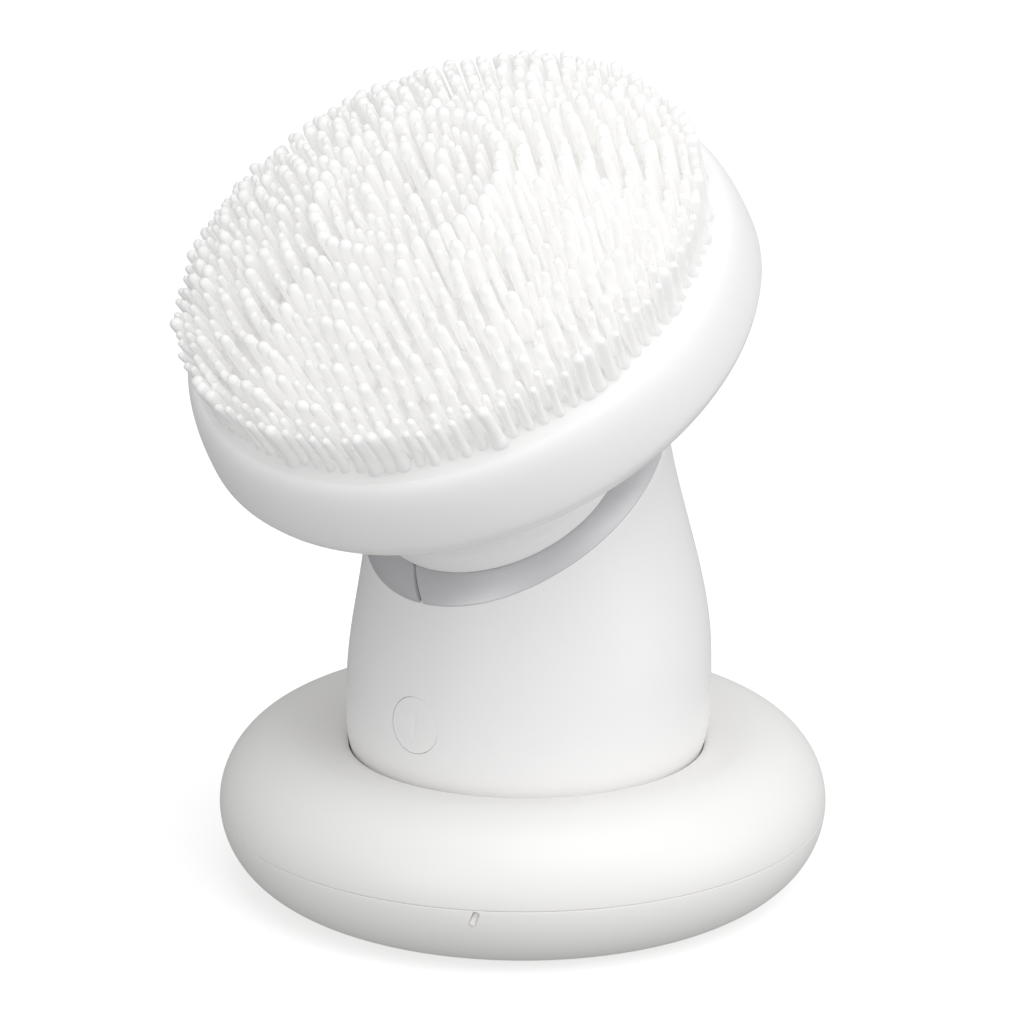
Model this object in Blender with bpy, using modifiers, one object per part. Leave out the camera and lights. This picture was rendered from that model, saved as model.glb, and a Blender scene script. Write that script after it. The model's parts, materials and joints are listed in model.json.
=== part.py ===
"""Facial cleansing brush: a slanted, spinning silicone brush head on an egg-shaped handle in a round dock.

World frame: metres, +Z up, -Y is the front that the brush head leans towards. The origin is the
centre of the dock's underside. Everything on the slanted spindle is placed under one empty, whose
local Z is the spindle axis, whose local Y runs up and back in the slanted plane, and whose origin
is the centre of the head's widest circle.
"""
import math

import bmesh
import bpy
from mathutils import Matrix, Vector
from mathutils.geometry import convex_hull_2d

MM = 0.001
GAP = 0.3 * MM
SEAM = 0.2 * MM
HOLE_TURN = 0.11
BOSS_TURN = 0.3
DOCK_STEPS = 36
HEAD_STEPS = 36
COLLECTION = "facial_cleansing_brush"

# Slanted spindle
SLANT = math.radians(32.0)
HEAD_CENTRE = (0.0, -8.7 * MM, 69.75 * MM)

# Dock
DOCK_RADIUS = 36.5 * MM
DOCK_EQUATOR = 9.9 * MM
DOCK_FOOT_RADIUS = 26.6 * MM
DOCK_CREST_RADIUS = 28.0 * MM
DOCK_HEIGHT = 19.0 * MM
DOCK_SEAM = 9.5 * MM
DOCK_HOLE_RADIUS = 22.3 * MM
DOCK_HOLE_Z = 17.0 * MM
DOCK_WALL = 1.6 * MM
DOCK_FOOT_Z = 0.3 * MM
WELL_FLOOR = 7.2 * MM
WELL_FLOOR_RADIUS = 16.5 * MM
BOTTOM_PLATE_LOW = 1.35 * MM
BOTTOM_PLATE_TOP = 2.9 * MM
PAD_RADIUS = 26.0 * MM
PAD_THICKNESS = 1.05 * MM
DOCK_PLATE_LEDGE = 1.5 * MM
DOCK_SCREW_RADIUS = 24.2 * MM
DOCK_SCREW_SEAT = 2.1 * MM
DOCK_SCREW_RECESS = 2.35 * MM
DOCK_BOSS_RADIUS = 2.2 * MM
DOCK_BOSS_BORE = 1.2 * MM
DOCK_BOSS_LOW = 3.2 * MM
DOCK_BOSS_TOP = 13.0 * MM
DOCK_BOSS_BORE_TOP = 10.6 * MM
DOCK_FERRITE_RADIUS = 17.0 * MM
DOCK_FERRITE_LOW = 3.2 * MM
DOCK_FERRITE_TOP = 3.9 * MM
DOCK_COIL_RADIUS = 16.0 * MM
DOCK_COIL_BORE = 7.0 * MM
DOCK_COIL_LOW = 4.2 * MM
DOCK_COIL_TOP = 5.3 * MM
DOCK_BOARD_LOW = 3.2 * MM
DOCK_BOARD_TOP = 4.2 * MM
INLET_SIZE = (9.0 * MM, 6.6 * MM, 3.2 * MM)
INLET_CENTRE = (0.0, 31.3 * MM, 6.1 * MM)
INLET_WALL = 0.35 * MM
TONGUE_WIDTH = 6.2 * MM
TONGUE_THICKNESS = 0.7 * MM
WINDOW_ANGLE = math.radians(29.0)
WINDOW_Z = 8.0 * MM
WINDOW_WIDTH = 0.8 * MM
WINDOW_LENGTH = 1.9 * MM
WINDOW_DEPTH = 1.8 * MM
WINDOW_RECESS = 0.15 * MM
WINDOW_TILT = math.radians(-12.0)
WINDOW_LEAN = math.radians(20.0)

# Handle
BODY_RADIUS = 21.9 * MM
BODY_WIDEST_Z = 24.0 * MM
BODY_BOTTOM = 7.5 * MM
BODY_SQUARENESS = 3.0
BODY_TAPER = 0.05
BODY_TAPER_SPAN = 22.0 * MM
BODY_TAPER_POWER = 1.2
BODY_BLEND_START = 0.14
BODY_WALL = 1.8 * MM
BODY_COLUMNS = 32
RIM_W = -20.2 * MM
RIM_HALF_WIDTH = 17.8 * MM
RIM_HALF_LENGTH = 21.2 * MM
RIM_OFFSET = -4.0 * MM
COLLAR_W = -18.0 * MM
COLLAR_HALF_WIDTH = 15.5 * MM
COLLAR_FRONT = -21.4 * MM
COLLAR_BACK = 14.0 * MM
COLLAR_OFFSET = -6.5 * MM
TRIM_THICKNESS = 1.2 * MM
TRIM_BULGE = 0.25 * MM
TRIM_SPLIT_ANGLE = math.radians(-1.5)
TRIM_SPLIT_LEAN = math.radians(-8.0)
TRIM_SPLIT_WIDTH = math.radians(1.2)
NECK_TOP_W = -9.9 * MM
NECK_TOP_RADIUS = 9.0 * MM
NECK_WALL = 1.5 * MM
NECK_SKIRT_W = -19.9 * MM
NECK_HOLE_RADIUS = 2.6 * MM
NECK_HOLE_DEPTH = 1.0 * MM
NECK_BOSS_RADIUS = 6.2 * MM
NECK_BOSS_BORE = 4.8 * MM
NECK_BOSS_W = -17.5 * MM
O_RING_W = -20.75 * MM
O_RING_INSET = 3.0 * MM
O_RING_THICKNESS = 0.5 * MM
BUTTON_Z = 24.6 * MM
BUTTON_RADIUS = 3.4 * MM
BUTTON_CLEARANCE = 0.25 * MM
BUTTON_BACK = 18.6 * MM
BUTTON_STEM_RADIUS = 2.4 * MM
BUTTON_STEM_BACK = 17.9 * MM
BUTTON_STEM_FRONT = 19.4 * MM
BUTTON_FLANGE_RADIUS = 4.3 * MM
BUTTON_FLANGE_BACK = 17.5 * MM
BUTTON_FLANGE_FRONT = 18.2 * MM
ELECTRONICS_Y = 0.3 * MM
CHASSIS_RADIUS = 15.5 * MM
CHASSIS_LOW = 12.4 * MM
CHASSIS_TOP = 13.4 * MM
CHASSIS_PLATE_SIZE = (24.0 * MM, 1.0 * MM, 21.0 * MM)
CHASSIS_PLATE_CENTRE = (0.0, 8.8 * MM, 23.5 * MM)
CELL_SIZE = (20.0 * MM, 5.8 * MM, 23.8 * MM)
CELL_CENTRE = (0.0, 12.5 * MM, 25.6 * MM)
BOARD_SIZE = (16.0 * MM, 1.0 * MM, 12.0 * MM)
BOARD_CENTRE = (0.0, -14.6 * MM, 21.2 * MM)
SWITCH_SIZE = (4.2 * MM, 1.3 * MM, 4.2 * MM)
SWITCH_Y = -15.95 * MM
PLUNGER_RADIUS = 0.9 * MM
PLUNGER_FRONT = 16.9 * MM
RECEIVE_COIL_RADIUS = 10.5 * MM
RECEIVE_COIL_BORE = 5.0 * MM
RECEIVE_COIL_LOW = 10.2 * MM
RECEIVE_COIL_TOP = 11.2 * MM
RECEIVE_FERRITE_RADIUS = 13.0 * MM
LIGHT_SIZE = (1.6 * MM, 0.7 * MM, 0.9 * MM)
LIGHT_CENTRE = (5.2 * MM, -15.7 * MM, BUTTON_Z)
LEAD_RADIUS = 0.45 * MM

# Drive train, along the slanted axis
GEAR_MODULE = 0.4 * MM
PRESSURE_ANGLE = math.radians(20.0)
BIG_TEETH = 36
SMALL_TEETH = 12
ADDENDUM = 0.78
DEDENDUM = 1.1
TOOTH_THINNING = 0.08 * MM
GEAR_SPACING = GEAR_MODULE * (BIG_TEETH + SMALL_TEETH) / 2
CASE_FLOOR_LOW = -31.0 * MM
CASE_FLOOR_TOP = -29.8 * MM
CASE_RIM = -22.9 * MM
LID_LOW = -22.6 * MM
LID_TOP = -21.6 * MM
CASE_WALL = 1.2 * MM
MOTOR_RADIUS = 7.7 * MM
MOTOR_FRONT = -31.3 * MM
MOTOR_LENGTH = 16.0 * MM
MOTOR_EDGE = 0.5 * MM
MOTOR_BORE = 1.05 * MM
MOTOR_BORE_DEPTH = 4.0 * MM
MOTOR_CAP_RADIUS = 7.1 * MM
MOTOR_CAP_THICKNESS = 1.0 * MM
BIG_POCKET = 8.1 * MM
SMALL_POCKET = 3.3 * MM
LUG_RADIUS = 2.0 * MM
LUG_BORE = 0.9 * MM
AXLE_RADIUS = 0.75 * MM
AXLE_BORE = 1.05 * MM
MOTOR_SHAFT_HOLE = 1.3 * MM
PINION_LOW = -29.2 * MM
PINION_TOP = -26.3 * MM
PINION_BORE = 1.0 * MM
IDLER_LOW = -28.9 * MM
IDLER_STEP = -26.5 * MM
IDLER_TOP = -23.1 * MM
IDLER_BORE = 0.85 * MM
SPINDLE_RADIUS = 2.0 * MM
SPINDLE_TOP = -0.8 * MM
NECKDOWN_RADIUS = 1.9 * MM
NECKDOWN_TOP = -8.2 * MM
FLANGE_RADIUS = 3.6 * MM
FLANGE_TOP = -8.75 * MM
FLANGE_LOW = -9.4 * MM
JOURNAL_RADIUS = 1.4 * MM
JOURNAL_TOP = -25.8 * MM
JOURNAL_END = -30.6 * MM
JOURNAL_BORE = 1.48 * MM
BUSH_BORE = 2.08 * MM
HEX_FLATS = 4.6 * MM
OUTPUT_GEAR_LOW = -25.6 * MM
OUTPUT_GEAR_TOP = -23.3 * MM

# Head, in the slanted frame
HEAD_RADIUS = 34.3 * MM
FACE_EDGE_RADIUS = 32.1 * MM
FACE_EDGE_W = 8.0 * MM
FACE_DOME = 57.0 * MM
FACE_CROWN = 18.0 * MM
SILICONE = 1.6 * MM
TIP_DOME = 50.0 * MM
TIP_CROWN = 26.0 * MM
TIP_EDGE_RADIUS = 32.4 * MM
BACK_FLAT_RADIUS = 13.7 * MM
BACK_FLAT_W = -6.6 * MM
HEAD_SEAM = -0.75 * MM
COVER_WALL = 1.5 * MM
CORE_WALL = 1.4 * MM
CORE_POST_RADIUS = 3.4 * MM
CORE_POST_LOW = 2.6 * MM
CORE_POST_TOP = 15.6 * MM
HUB_RADIUS = 4.9 * MM
HUB_TOP = 2.2 * MM
HUB_LOW = -8.4 * MM
HUB_FLANGE_RADIUS = 10.4 * MM
HUB_FLANGE_TOP = -2.6 * MM
HUB_FLANGE_LOW = -3.8 * MM
HUB_SCREW_RADIUS = 8.2 * MM
HUB_SCREW_BORE = 0.9 * MM
CLIP_GROOVE_RADIUS = 3.6 * MM
CLIP_W = -6.1 * MM


# ---------------------------------------------------------------- scene helpers
def clear_scene():
    for obj in list(bpy.data.objects):
        bpy.data.objects.remove(obj, do_unlink=True)


def make_collection(name):
    collection = bpy.data.collections.new(name)
    bpy.context.scene.collection.children.link(collection)
    return collection


def make_material(name, color, roughness, metallic=0.0, alpha=1.0):
    material = bpy.data.materials.new(name)
    material.use_nodes = True
    shader = material.node_tree.nodes["Principled BSDF"]
    shader.inputs["Base Color"].default_value = (*color, 1.0)
    shader.inputs["Roughness"].default_value = roughness
    shader.inputs["Metallic"].default_value = metallic
    shader.inputs["Alpha"].default_value = alpha
    return material


def make_empty(name, location, rotation=(0.0, 0.0, 0.0), parent=None):
    empty = bpy.data.objects.new(name, None)
    PARTS.objects.link(empty)
    empty.location = location
    empty.rotation_euler = rotation
    empty.parent = parent
    return empty


def add_part(name, mesh, material, parent=None, location=(0.0, 0.0, 0.0), rotation=(0.0, 0.0, 0.0)):
    part = bpy.data.objects.new(name, mesh)
    PARTS.objects.link(part)
    part.parent = parent
    part.location = location
    part.rotation_euler = rotation
    if material is not None:
        mesh.materials.append(material)
    return part


def as_cutter(part):
    PARTS.objects.unlink(part)
    CUTTERS.objects.link(part)
    part.hide_render = True
    part.display_type = "WIRE"
    return part


def combine(part, other, operation):
    boolean = part.modifiers.new(operation.lower(), "BOOLEAN")
    boolean.operation = operation
    boolean.object = as_cutter(other)
    return part


def cut(part, *cutters):
    for cutter in cutters:
        combine(part, cutter, "DIFFERENCE")
    return part


def fuse(part, *others):
    for other in others:
        combine(part, other, "UNION")
    return part


# ---------------------------------------------------------------- shape helpers
def smooth_shaded(mesh, angle=35.0):
    mesh.shade_smooth()
    mesh.set_sharp_from_angle(angle=math.radians(angle))
    return mesh


def mesh_from_bmesh(name, work):
    mesh = bpy.data.meshes.new(name)
    work.to_mesh(mesh)
    work.free()
    return mesh


def turned(name, profile, material, parent=None, location=(0.0, 0.0, 0.0), rotation=(0.0, 0.0, 0.0),
           steps=48, turn=0.0):
    """Solid of revolution about local Z. The profile is (radius, height) pairs around its outline;
    it is closed, and it may start and end on the axis. turn is the angle of its first facet edge."""
    area = sum(a[0] * b[1] - b[0] * a[1] for a, b in zip(profile, profile[1:] + profile[:1]))
    outline = profile if area < 0 else profile[::-1]
    on_axis = [i for i, (radius, _) in enumerate(outline) if radius == 0.0]
    closed = not on_axis
    if on_axis:
        start = next(i for i in on_axis if outline[(i + 1) % len(outline)][0] > 0.0)
        outline = outline[start:] + outline[:start]
    mesh = bpy.data.meshes.new(name)
    points = [(radius * math.cos(turn), radius * math.sin(turn), height) for radius, height in outline]
    edges = [(i, i + 1) for i in range(len(points) - 1)]
    if closed:
        edges.append((len(points) - 1, 0))
    mesh.from_pydata(points, edges, [])
    part = add_part(name, mesh, material, parent, location, rotation)
    screw = part.modifiers.new("turned", "SCREW")
    screw.steps = steps
    screw.render_steps = steps
    screw.use_merge_vertices = True
    screw.merge_threshold = 0.00001
    screw.use_smooth_shade = True
    return part


def cylinder(name, radius, low, high, material, parent=None, location=(0.0, 0.0, 0.0),
             rotation=(0.0, 0.0, 0.0), sides=24, bore=0.0, turn=0.0):
    """Round bar or tube along local Z between two heights."""
    profile = [(bore, high), (radius, high), (radius, low), (bore, low)]
    return turned(name, profile, material, parent, location, rotation, sides, turn)


def box(name, size, centre, material, parent=None, bevel=0.0):
    work = bmesh.new()
    bmesh.ops.create_cube(work, size=1.0, matrix=Matrix.Diagonal((*size, 1.0)))
    part = add_part(name, mesh_from_bmesh(name, work), material, parent, centre)
    if bevel:
        rounding = part.modifiers.new("rounded", "BEVEL")
        rounding.width = bevel
        rounding.segments = 2
        rounding.limit_method = "ANGLE"
    return part


def plate(name, outlines, low, high, material, parent=None):
    """Flat piece in the local XY plane: the first outline is its edge and the others are its holes."""
    curve = bpy.data.curves.new(name, "CURVE")
    curve.dimensions = "2D"
    curve.fill_mode = "BOTH"
    curve.extrude = (high - low) / 2
    for outline in outlines:
        spline = curve.splines.new("POLY")
        spline.points.add(len(outline) - 1)
        for point, (x, y) in zip(spline.points, outline):
            point.co = (x, y, 0.0, 1.0)
        spline.use_cyclic_u = True
    draft = bpy.data.objects.new(name, curve)
    PARTS.objects.link(draft)
    draft.parent = parent
    draft.location = (0.0, 0.0, (low + high) / 2)
    return curve_to_part(draft, material)


def curve_to_part(draft, material):
    """Replaces a curve object by a welded mesh object in the same place."""
    bpy.context.view_layer.update()
    depsgraph = bpy.context.evaluated_depsgraph_get()
    mesh = bpy.data.meshes.new_from_object(draft.evaluated_get(depsgraph))
    work = bmesh.new()
    work.from_mesh(mesh)
    bmesh.ops.remove_doubles(work, verts=work.verts, dist=0.000001)
    bmesh.ops.recalc_face_normals(work, faces=work.faces)
    work.to_mesh(mesh)
    work.free()
    mesh.materials.clear()
    part = add_part("welded", mesh, material)
    part.matrix_world = draft.matrix_world.copy()
    name = draft.name
    bpy.data.objects.remove(draft, do_unlink=True)
    part.name = name
    mesh.name = name
    return part


def wire(name, points, radius, material, parent=None, cyclic=False):
    """Round wire through the given points, on a smooth curve sampled evenly."""
    curve = bpy.data.curves.new(name, "CURVE")
    curve.dimensions = "3D"
    curve.bevel_depth = radius
    curve.bevel_resolution = 2
    curve.use_fill_caps = not cyclic
    route = points if cyclic else smooth_route(points)
    spline = curve.splines.new("POLY")
    spline.points.add(len(route) - 1)
    for point, place in zip(spline.points, route):
        point.co = (*place, 1.0)
    spline.use_cyclic_u = cyclic
    draft = bpy.data.objects.new(name, curve)
    PARTS.objects.link(draft)
    draft.parent = parent
    return curve_to_part(draft, material)


def smooth_route(points, steps=2):
    """Catmull-Rom points through a short list of route points."""
    knots = [Vector(p) for p in points]
    knots = [knots[0] * 2 - knots[1]] + knots + [knots[-1] * 2 - knots[-2]]
    route = []
    for a, b, c, d in zip(knots, knots[1:], knots[2:], knots[3:]):
        for step in range(steps):
            t = step / steps
            place = b * 2 + (c - a) * t + (a * 2 - b * 5 + c * 4 - d) * t ** 2
            place += (b * 3 - a - c * 3 + d) * t ** 3
            route.append(place / 2)
    return route + [knots[-2]]


def skin(name, rows, material, parent=None, around=True, ring_section=False):
    """Solid lofted over rows of points. With around, each row closes on itself. With ring_section,
    the last row joins the first, and otherwise both end rows are capped."""
    work = bmesh.new()
    grid = [[work.verts.new(point) for point in row] for row in rows]
    columns = len(grid[0])
    last_column = columns if around else columns - 1
    last_row = len(grid) if ring_section else len(grid) - 1
    for r in range(last_row):
        upper = grid[r]
        lower = grid[(r + 1) % len(grid)]
        for c in range(last_column):
            d = (c + 1) % columns
            work.faces.new((upper[c], upper[d], lower[d], lower[c]))
    if not ring_section:
        work.faces.new(grid[0])
        work.faces.new(grid[-1])
    if not around:
        work.faces.new([row[0] for row in grid])
        work.faces.new([row[-1] for row in grid])
    bmesh.ops.recalc_face_normals(work, faces=work.faces)
    return add_part(name, smooth_shaded(mesh_from_bmesh(name, work)), material, parent)


def quarter_arc(start, end, steps, level_first):
    """Quarter ellipse from start to end. With level_first, it leaves start horizontally."""
    points = []
    for step in range(steps + 1):
        t = math.pi / 2 * step / steps
        rise = math.sin(t)
        ease = 1.0 - math.cos(t)
        across, up = (rise, ease) if level_first else (ease, rise)
        radius = start[0] + (end[0] - start[0]) * across
        height = start[1] + (end[1] - start[1]) * up
        points.append((radius, height))
    return points


def circle(radius, sides, centre=(0.0, 0.0), turn=0.0):
    angles = [turn + 2 * math.pi * i / sides for i in range(sides)]
    return [(centre[0] + radius * math.cos(a), centre[1] + radius * math.sin(a)) for a in angles]


def belt(circles, sides=16):
    """Outline of a belt stretched round circles given as (x, y, radius)."""
    points = [p for x, y, radius in circles for p in circle(radius, sides, (x, y))]
    return [points[i] for i in convex_hull_2d(points)]


# ---------------------------------------------------------------- the handle's surface
def to_world(x, v, w):
    """World place of a point in the slanted frame."""
    y = HEAD_CENTRE[1] + v * math.cos(SLANT) - w * math.sin(SLANT)
    z = HEAD_CENTRE[2] + v * math.sin(SLANT) + w * math.cos(SLANT)
    return Vector((x, y, z))


def rim_point(angle, inset=0.0, w=RIM_W):
    """Slanted oval where the handle shell ends. Angle 0 is the front."""
    x = (RIM_HALF_WIDTH - inset) * math.sin(angle)
    v = RIM_OFFSET - (RIM_HALF_LENGTH - inset) * math.cos(angle)
    return x, v, w


def collar_point(angle, inset=0.0, w=COLLAR_W):
    """Egg-shaped outline of the neck cover, fuller at the front."""
    reach = COLLAR_OFFSET - COLLAR_FRONT if math.cos(angle) > 0 else COLLAR_BACK - COLLAR_OFFSET
    x = (COLLAR_HALF_WIDTH - inset) * math.sin(angle)
    v = COLLAR_OFFSET - (reach - inset) * math.cos(angle)
    return x, v, w


def centreline(z):
    """The handle leans back slightly as it rises."""
    lift = (z - 30 * MM) / (30 * MM)
    return (1.42 + 1.12 * lift - 0.93 * lift ** 2) * MM


def upper_radius(z):
    drop = BODY_TAPER * ((z - BODY_WIDEST_Z) / BODY_TAPER_SPAN) ** BODY_TAPER_POWER
    return BODY_RADIUS * (1.0 - drop)


def upper_point(angle, share, inset):
    """Point on the handle above its widest height; share runs from 0 there to 1 at the slanted rim."""
    rim = to_world(*rim_point(angle, inset))
    z = BODY_WIDEST_Z + (rim.z - BODY_WIDEST_Z) * share
    radius = upper_radius(z) - inset
    round_place = Vector((radius * math.sin(angle), centreline(z) - radius * math.cos(angle), z))
    rim_radius = upper_radius(rim.z) - inset
    rim_place = Vector((rim_radius * math.sin(angle),
                        centreline(rim.z) - rim_radius * math.cos(angle), rim.z))
    blend = max(0.0, (share - BODY_BLEND_START) / (1.0 - BODY_BLEND_START))
    blend = blend * blend * (3.0 - 2.0 * blend)
    return round_place + (rim - rim_place) * blend


def lower_row(turn, inset):
    """Row of the rounded lower half; turn runs from 0 at the bottom to a right angle at the widest."""
    radius = (BODY_RADIUS - inset) * math.sin(turn) ** (2 / BODY_SQUARENESS)
    drop = (BODY_WIDEST_Z - BODY_BOTTOM - inset) * math.cos(turn) ** (2 / BODY_SQUARENESS)
    z = BODY_WIDEST_Z - drop
    angles = [2 * math.pi * c / BODY_COLUMNS for c in range(BODY_COLUMNS)]
    return [(radius * math.sin(a), centreline(z) - radius * math.cos(a), z) for a in angles]


def body_rows(inset):
    """Rows of the handle's surface from its bottom to the slanted rim, moved inwards by inset."""
    rows = [lower_row(math.radians(turn), inset) for turn in (5, 16, 30, 46, 66, 90)]
    angles = [2 * math.pi * c / BODY_COLUMNS for c in range(BODY_COLUMNS)]
    for share in (0.2, 0.4, 0.6, 0.8, 1.0):
        rows.append([upper_point(a, share, inset) for a in angles])
    return rows


# ---------------------------------------------------------------- dock
def dock_outer_low(inset):
    """Lower half of the dock's round section, from the seam down to the foot."""
    steps = 5
    reach = DOCK_RADIUS - DOCK_FOOT_RADIUS - inset
    rise = DOCK_EQUATOR - DOCK_FOOT_Z - inset
    start = math.asin((DOCK_EQUATOR - DOCK_SEAM + SEAM) / rise)
    points = []
    for step in range(steps + 1):
        t = start + (math.pi / 2 - start) * step / steps
        points.append((DOCK_FOOT_RADIUS + reach * math.cos(t), DOCK_EQUATOR - rise * math.sin(t)))
    return points


def build_dock_lower_shell():
    outer = dock_outer_low(0.0)
    inner = [p for p in dock_outer_low(DOCK_WALL) if p[1] > BOTTOM_PLATE_TOP]
    recess = PAD_RADIUS + GAP
    profile = outer + [(recess, outer[-1][1]), (recess, BOTTOM_PLATE_LOW), (0.0, BOTTOM_PLATE_LOW)]
    ledge = inner[-1][0] - DOCK_PLATE_LEDGE
    profile += [(0.0, BOTTOM_PLATE_TOP), (ledge, BOTTOM_PLATE_TOP)] + inner[::-1]
    shell = turned("dock_lower_shell", profile, WARM_WHITE, steps=DOCK_STEPS)
    for x, y in dock_screw_places():
        cut(shell, cylinder("cut_lower_screw", DOCK_BOSS_BORE, 0.0, DOCK_BOSS_LOW, None,
                            location=(x, y, 0.0), sides=8, turn=HOLE_TURN))
        cut(shell, cylinder("cut_lower_head", DOCK_BOSS_RADIUS, 0.0, DOCK_SCREW_RECESS, None,
                            location=(x, y, 0.0), sides=12, turn=BOSS_TURN))
    width, length, height = INLET_SIZE
    opening = (width + 2 * GAP, 2 * length, height + 2 * GAP)
    behind = (INLET_CENTRE[0], INLET_CENTRE[1] + length / 2, INLET_CENTRE[2])
    cut(shell, box("cut_inlet", opening, behind, None, bevel=0.8 * MM))
    return cut(shell, window_bar("cut_window", SEAM, 4 * WINDOW_DEPTH, 2 * WINDOW_DEPTH, None))


def dock_screw_places():
    angles = [math.radians(a) for a in (-90, 30, 150)]
    return [(DOCK_SCREW_RADIUS * math.cos(a), DOCK_SCREW_RADIUS * math.sin(a)) for a in angles]


def window_bar(name, grow, depth, ahead, material):
    """Small slanted bar in the dock's side below its seam; it ends the distance ahead of the window."""
    side = math.sqrt(1.0 - ((DOCK_EQUATOR - WINDOW_Z) / DOCK_EQUATOR) ** 2)
    reach = DOCK_FOOT_RADIUS + (DOCK_RADIUS - DOCK_FOOT_RADIUS) * side - WINDOW_RECESS
    middle = reach + ahead - depth / 2
    size = (WINDOW_WIDTH + 2 * grow, depth, WINDOW_LENGTH + 2 * grow)
    centre = (middle * math.sin(WINDOW_ANGLE), -middle * math.cos(WINDOW_ANGLE), WINDOW_Z)
    bar = box(name, size, centre, material, bevel=0.25 * MM)
    bar.rotation_euler = (WINDOW_TILT, WINDOW_LEAN, WINDOW_ANGLE)
    return bar


def build_dock_upper_shell():
    seam = DOCK_SEAM + SEAM / 2
    hole = quarter_arc((DOCK_HOLE_RADIUS, DOCK_HOLE_Z), (DOCK_CREST_RADIUS, DOCK_HEIGHT), 2, False)
    crest = quarter_arc((DOCK_CREST_RADIUS, DOCK_HEIGHT), (DOCK_RADIUS, DOCK_EQUATOR), 6, True)
    well = quarter_arc((WELL_FLOOR_RADIUS, WELL_FLOOR), (DOCK_HOLE_RADIUS, DOCK_HOLE_Z), 3, True)
    inner_crest = quarter_arc((DOCK_CREST_RADIUS, DOCK_HEIGHT - DOCK_WALL),
                              (DOCK_RADIUS - DOCK_WALL, DOCK_EQUATOR), 3, True)
    step_out = DOCK_WALL / 3
    under_well = quarter_arc((WELL_FLOOR_RADIUS + step_out, WELL_FLOOR - DOCK_WALL),
                             (DOCK_HOLE_RADIUS + DOCK_WALL, DOCK_HOLE_Z - step_out), 3, True)
    profile = [(0.0, WELL_FLOOR)] + well[:-1] + hole + crest[1:]
    profile += [(DOCK_RADIUS, seam), (DOCK_RADIUS - DOCK_WALL, seam)]
    profile += inner_crest[::-1] + under_well[::-1] + [(0.0, WELL_FLOOR - DOCK_WALL)]
    shell = turned("dock_upper_shell", profile, WARM_WHITE, steps=DOCK_STEPS)
    for x, y in dock_screw_places():
        fuse(shell, cylinder("dock_boss", DOCK_BOSS_RADIUS, DOCK_BOSS_LOW, DOCK_BOSS_TOP, None,
                             location=(x, y, 0.0), sides=12, turn=BOSS_TURN))
    for x, y in dock_screw_places():
        cut(shell, cylinder("cut_boss", DOCK_BOSS_BORE, BOTTOM_PLATE_TOP, DOCK_BOSS_BORE_TOP, None,
                            location=(x, y, 0.0), sides=8, turn=HOLE_TURN))
    return shell


def screw(name, size, place, parent=None, flip=False):
    """Small pan-head screw; its head's seat is at the place and its shank runs along local -Z.
    The size is its head radius, head height, shank radius and shank length."""
    sign = -1.0 if flip else 1.0
    head_radius, head_height, shank_radius, length = (value * MM for value in size)
    profile = [(0.0, head_height), (head_radius * 0.7, head_height), (head_radius, head_height * 0.5),
               (head_radius, 0.0), (shank_radius, 0.0), (shank_radius, -length), (0.0, -length)]
    profile = [(radius, sign * height) for radius, height in profile]
    return turned(name, profile, STEEL, parent, place, steps=8)


def build_dock():
    build_dock_upper_shell()
    build_dock_lower_shell()
    chamfer = DOCK_FOOT_Z
    edge = [(PAD_RADIUS - chamfer, 0.0), (PAD_RADIUS, chamfer), (PAD_RADIUS, PAD_THICKNESS)]
    turned("anti_slip_pad", [(0.0, 0.0)] + edge + [(0.0, PAD_THICKNESS)], PAD_GREY, steps=DOCK_STEPS)
    cylinder("coil_ferrite", DOCK_FERRITE_RADIUS, DOCK_FERRITE_LOW, DOCK_FERRITE_TOP, FERRITE)
    cylinder("transmit_coil", DOCK_COIL_RADIUS, DOCK_COIL_LOW, DOCK_COIL_TOP, COPPER, bore=DOCK_COIL_BORE)
    build_dock_circuit_board()
    build_charging_inlet()
    window_bar("status_window", 0.0, WINDOW_DEPTH, 0.0, CLEAR)
    for number, (x, y) in enumerate(dock_screw_places(), 1):
        screw(f"dock_screw_{number}", (1.8, 0.8, 0.9, 7.5), (x, y, DOCK_SCREW_SEAT), flip=True)


def build_dock_circuit_board():
    """Board between the coil and the rear wall, with two corners cut to clear the round shell."""
    corners = [(-10, 24.6), (10, 24.6), (10, 28.2), (7.5, 29.8), (-7.5, 29.8), (-10, 28.2)]
    outline = [(x * MM, y * MM) for x, y in corners]
    return plate("dock_circuit_board", [outline], DOCK_BOARD_LOW, DOCK_BOARD_TOP, BOARD_GREEN)


def rounded_outline(width, height, radius, sides=4):
    """Outline of a rectangle with round corners, centred on the origin."""
    outline = []
    for quarter, (side_x, side_y) in enumerate(((1, 1), (-1, 1), (-1, -1), (1, -1))):
        centre = (side_x * (width / 2 - radius), side_y * (height / 2 - radius))
        for step in range(sides):
            angle = math.pi / 2 * (quarter + step / (sides - 1))
            outline.append((centre[0] + radius * math.cos(angle), centre[1] + radius * math.sin(angle)))
    return outline


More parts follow.
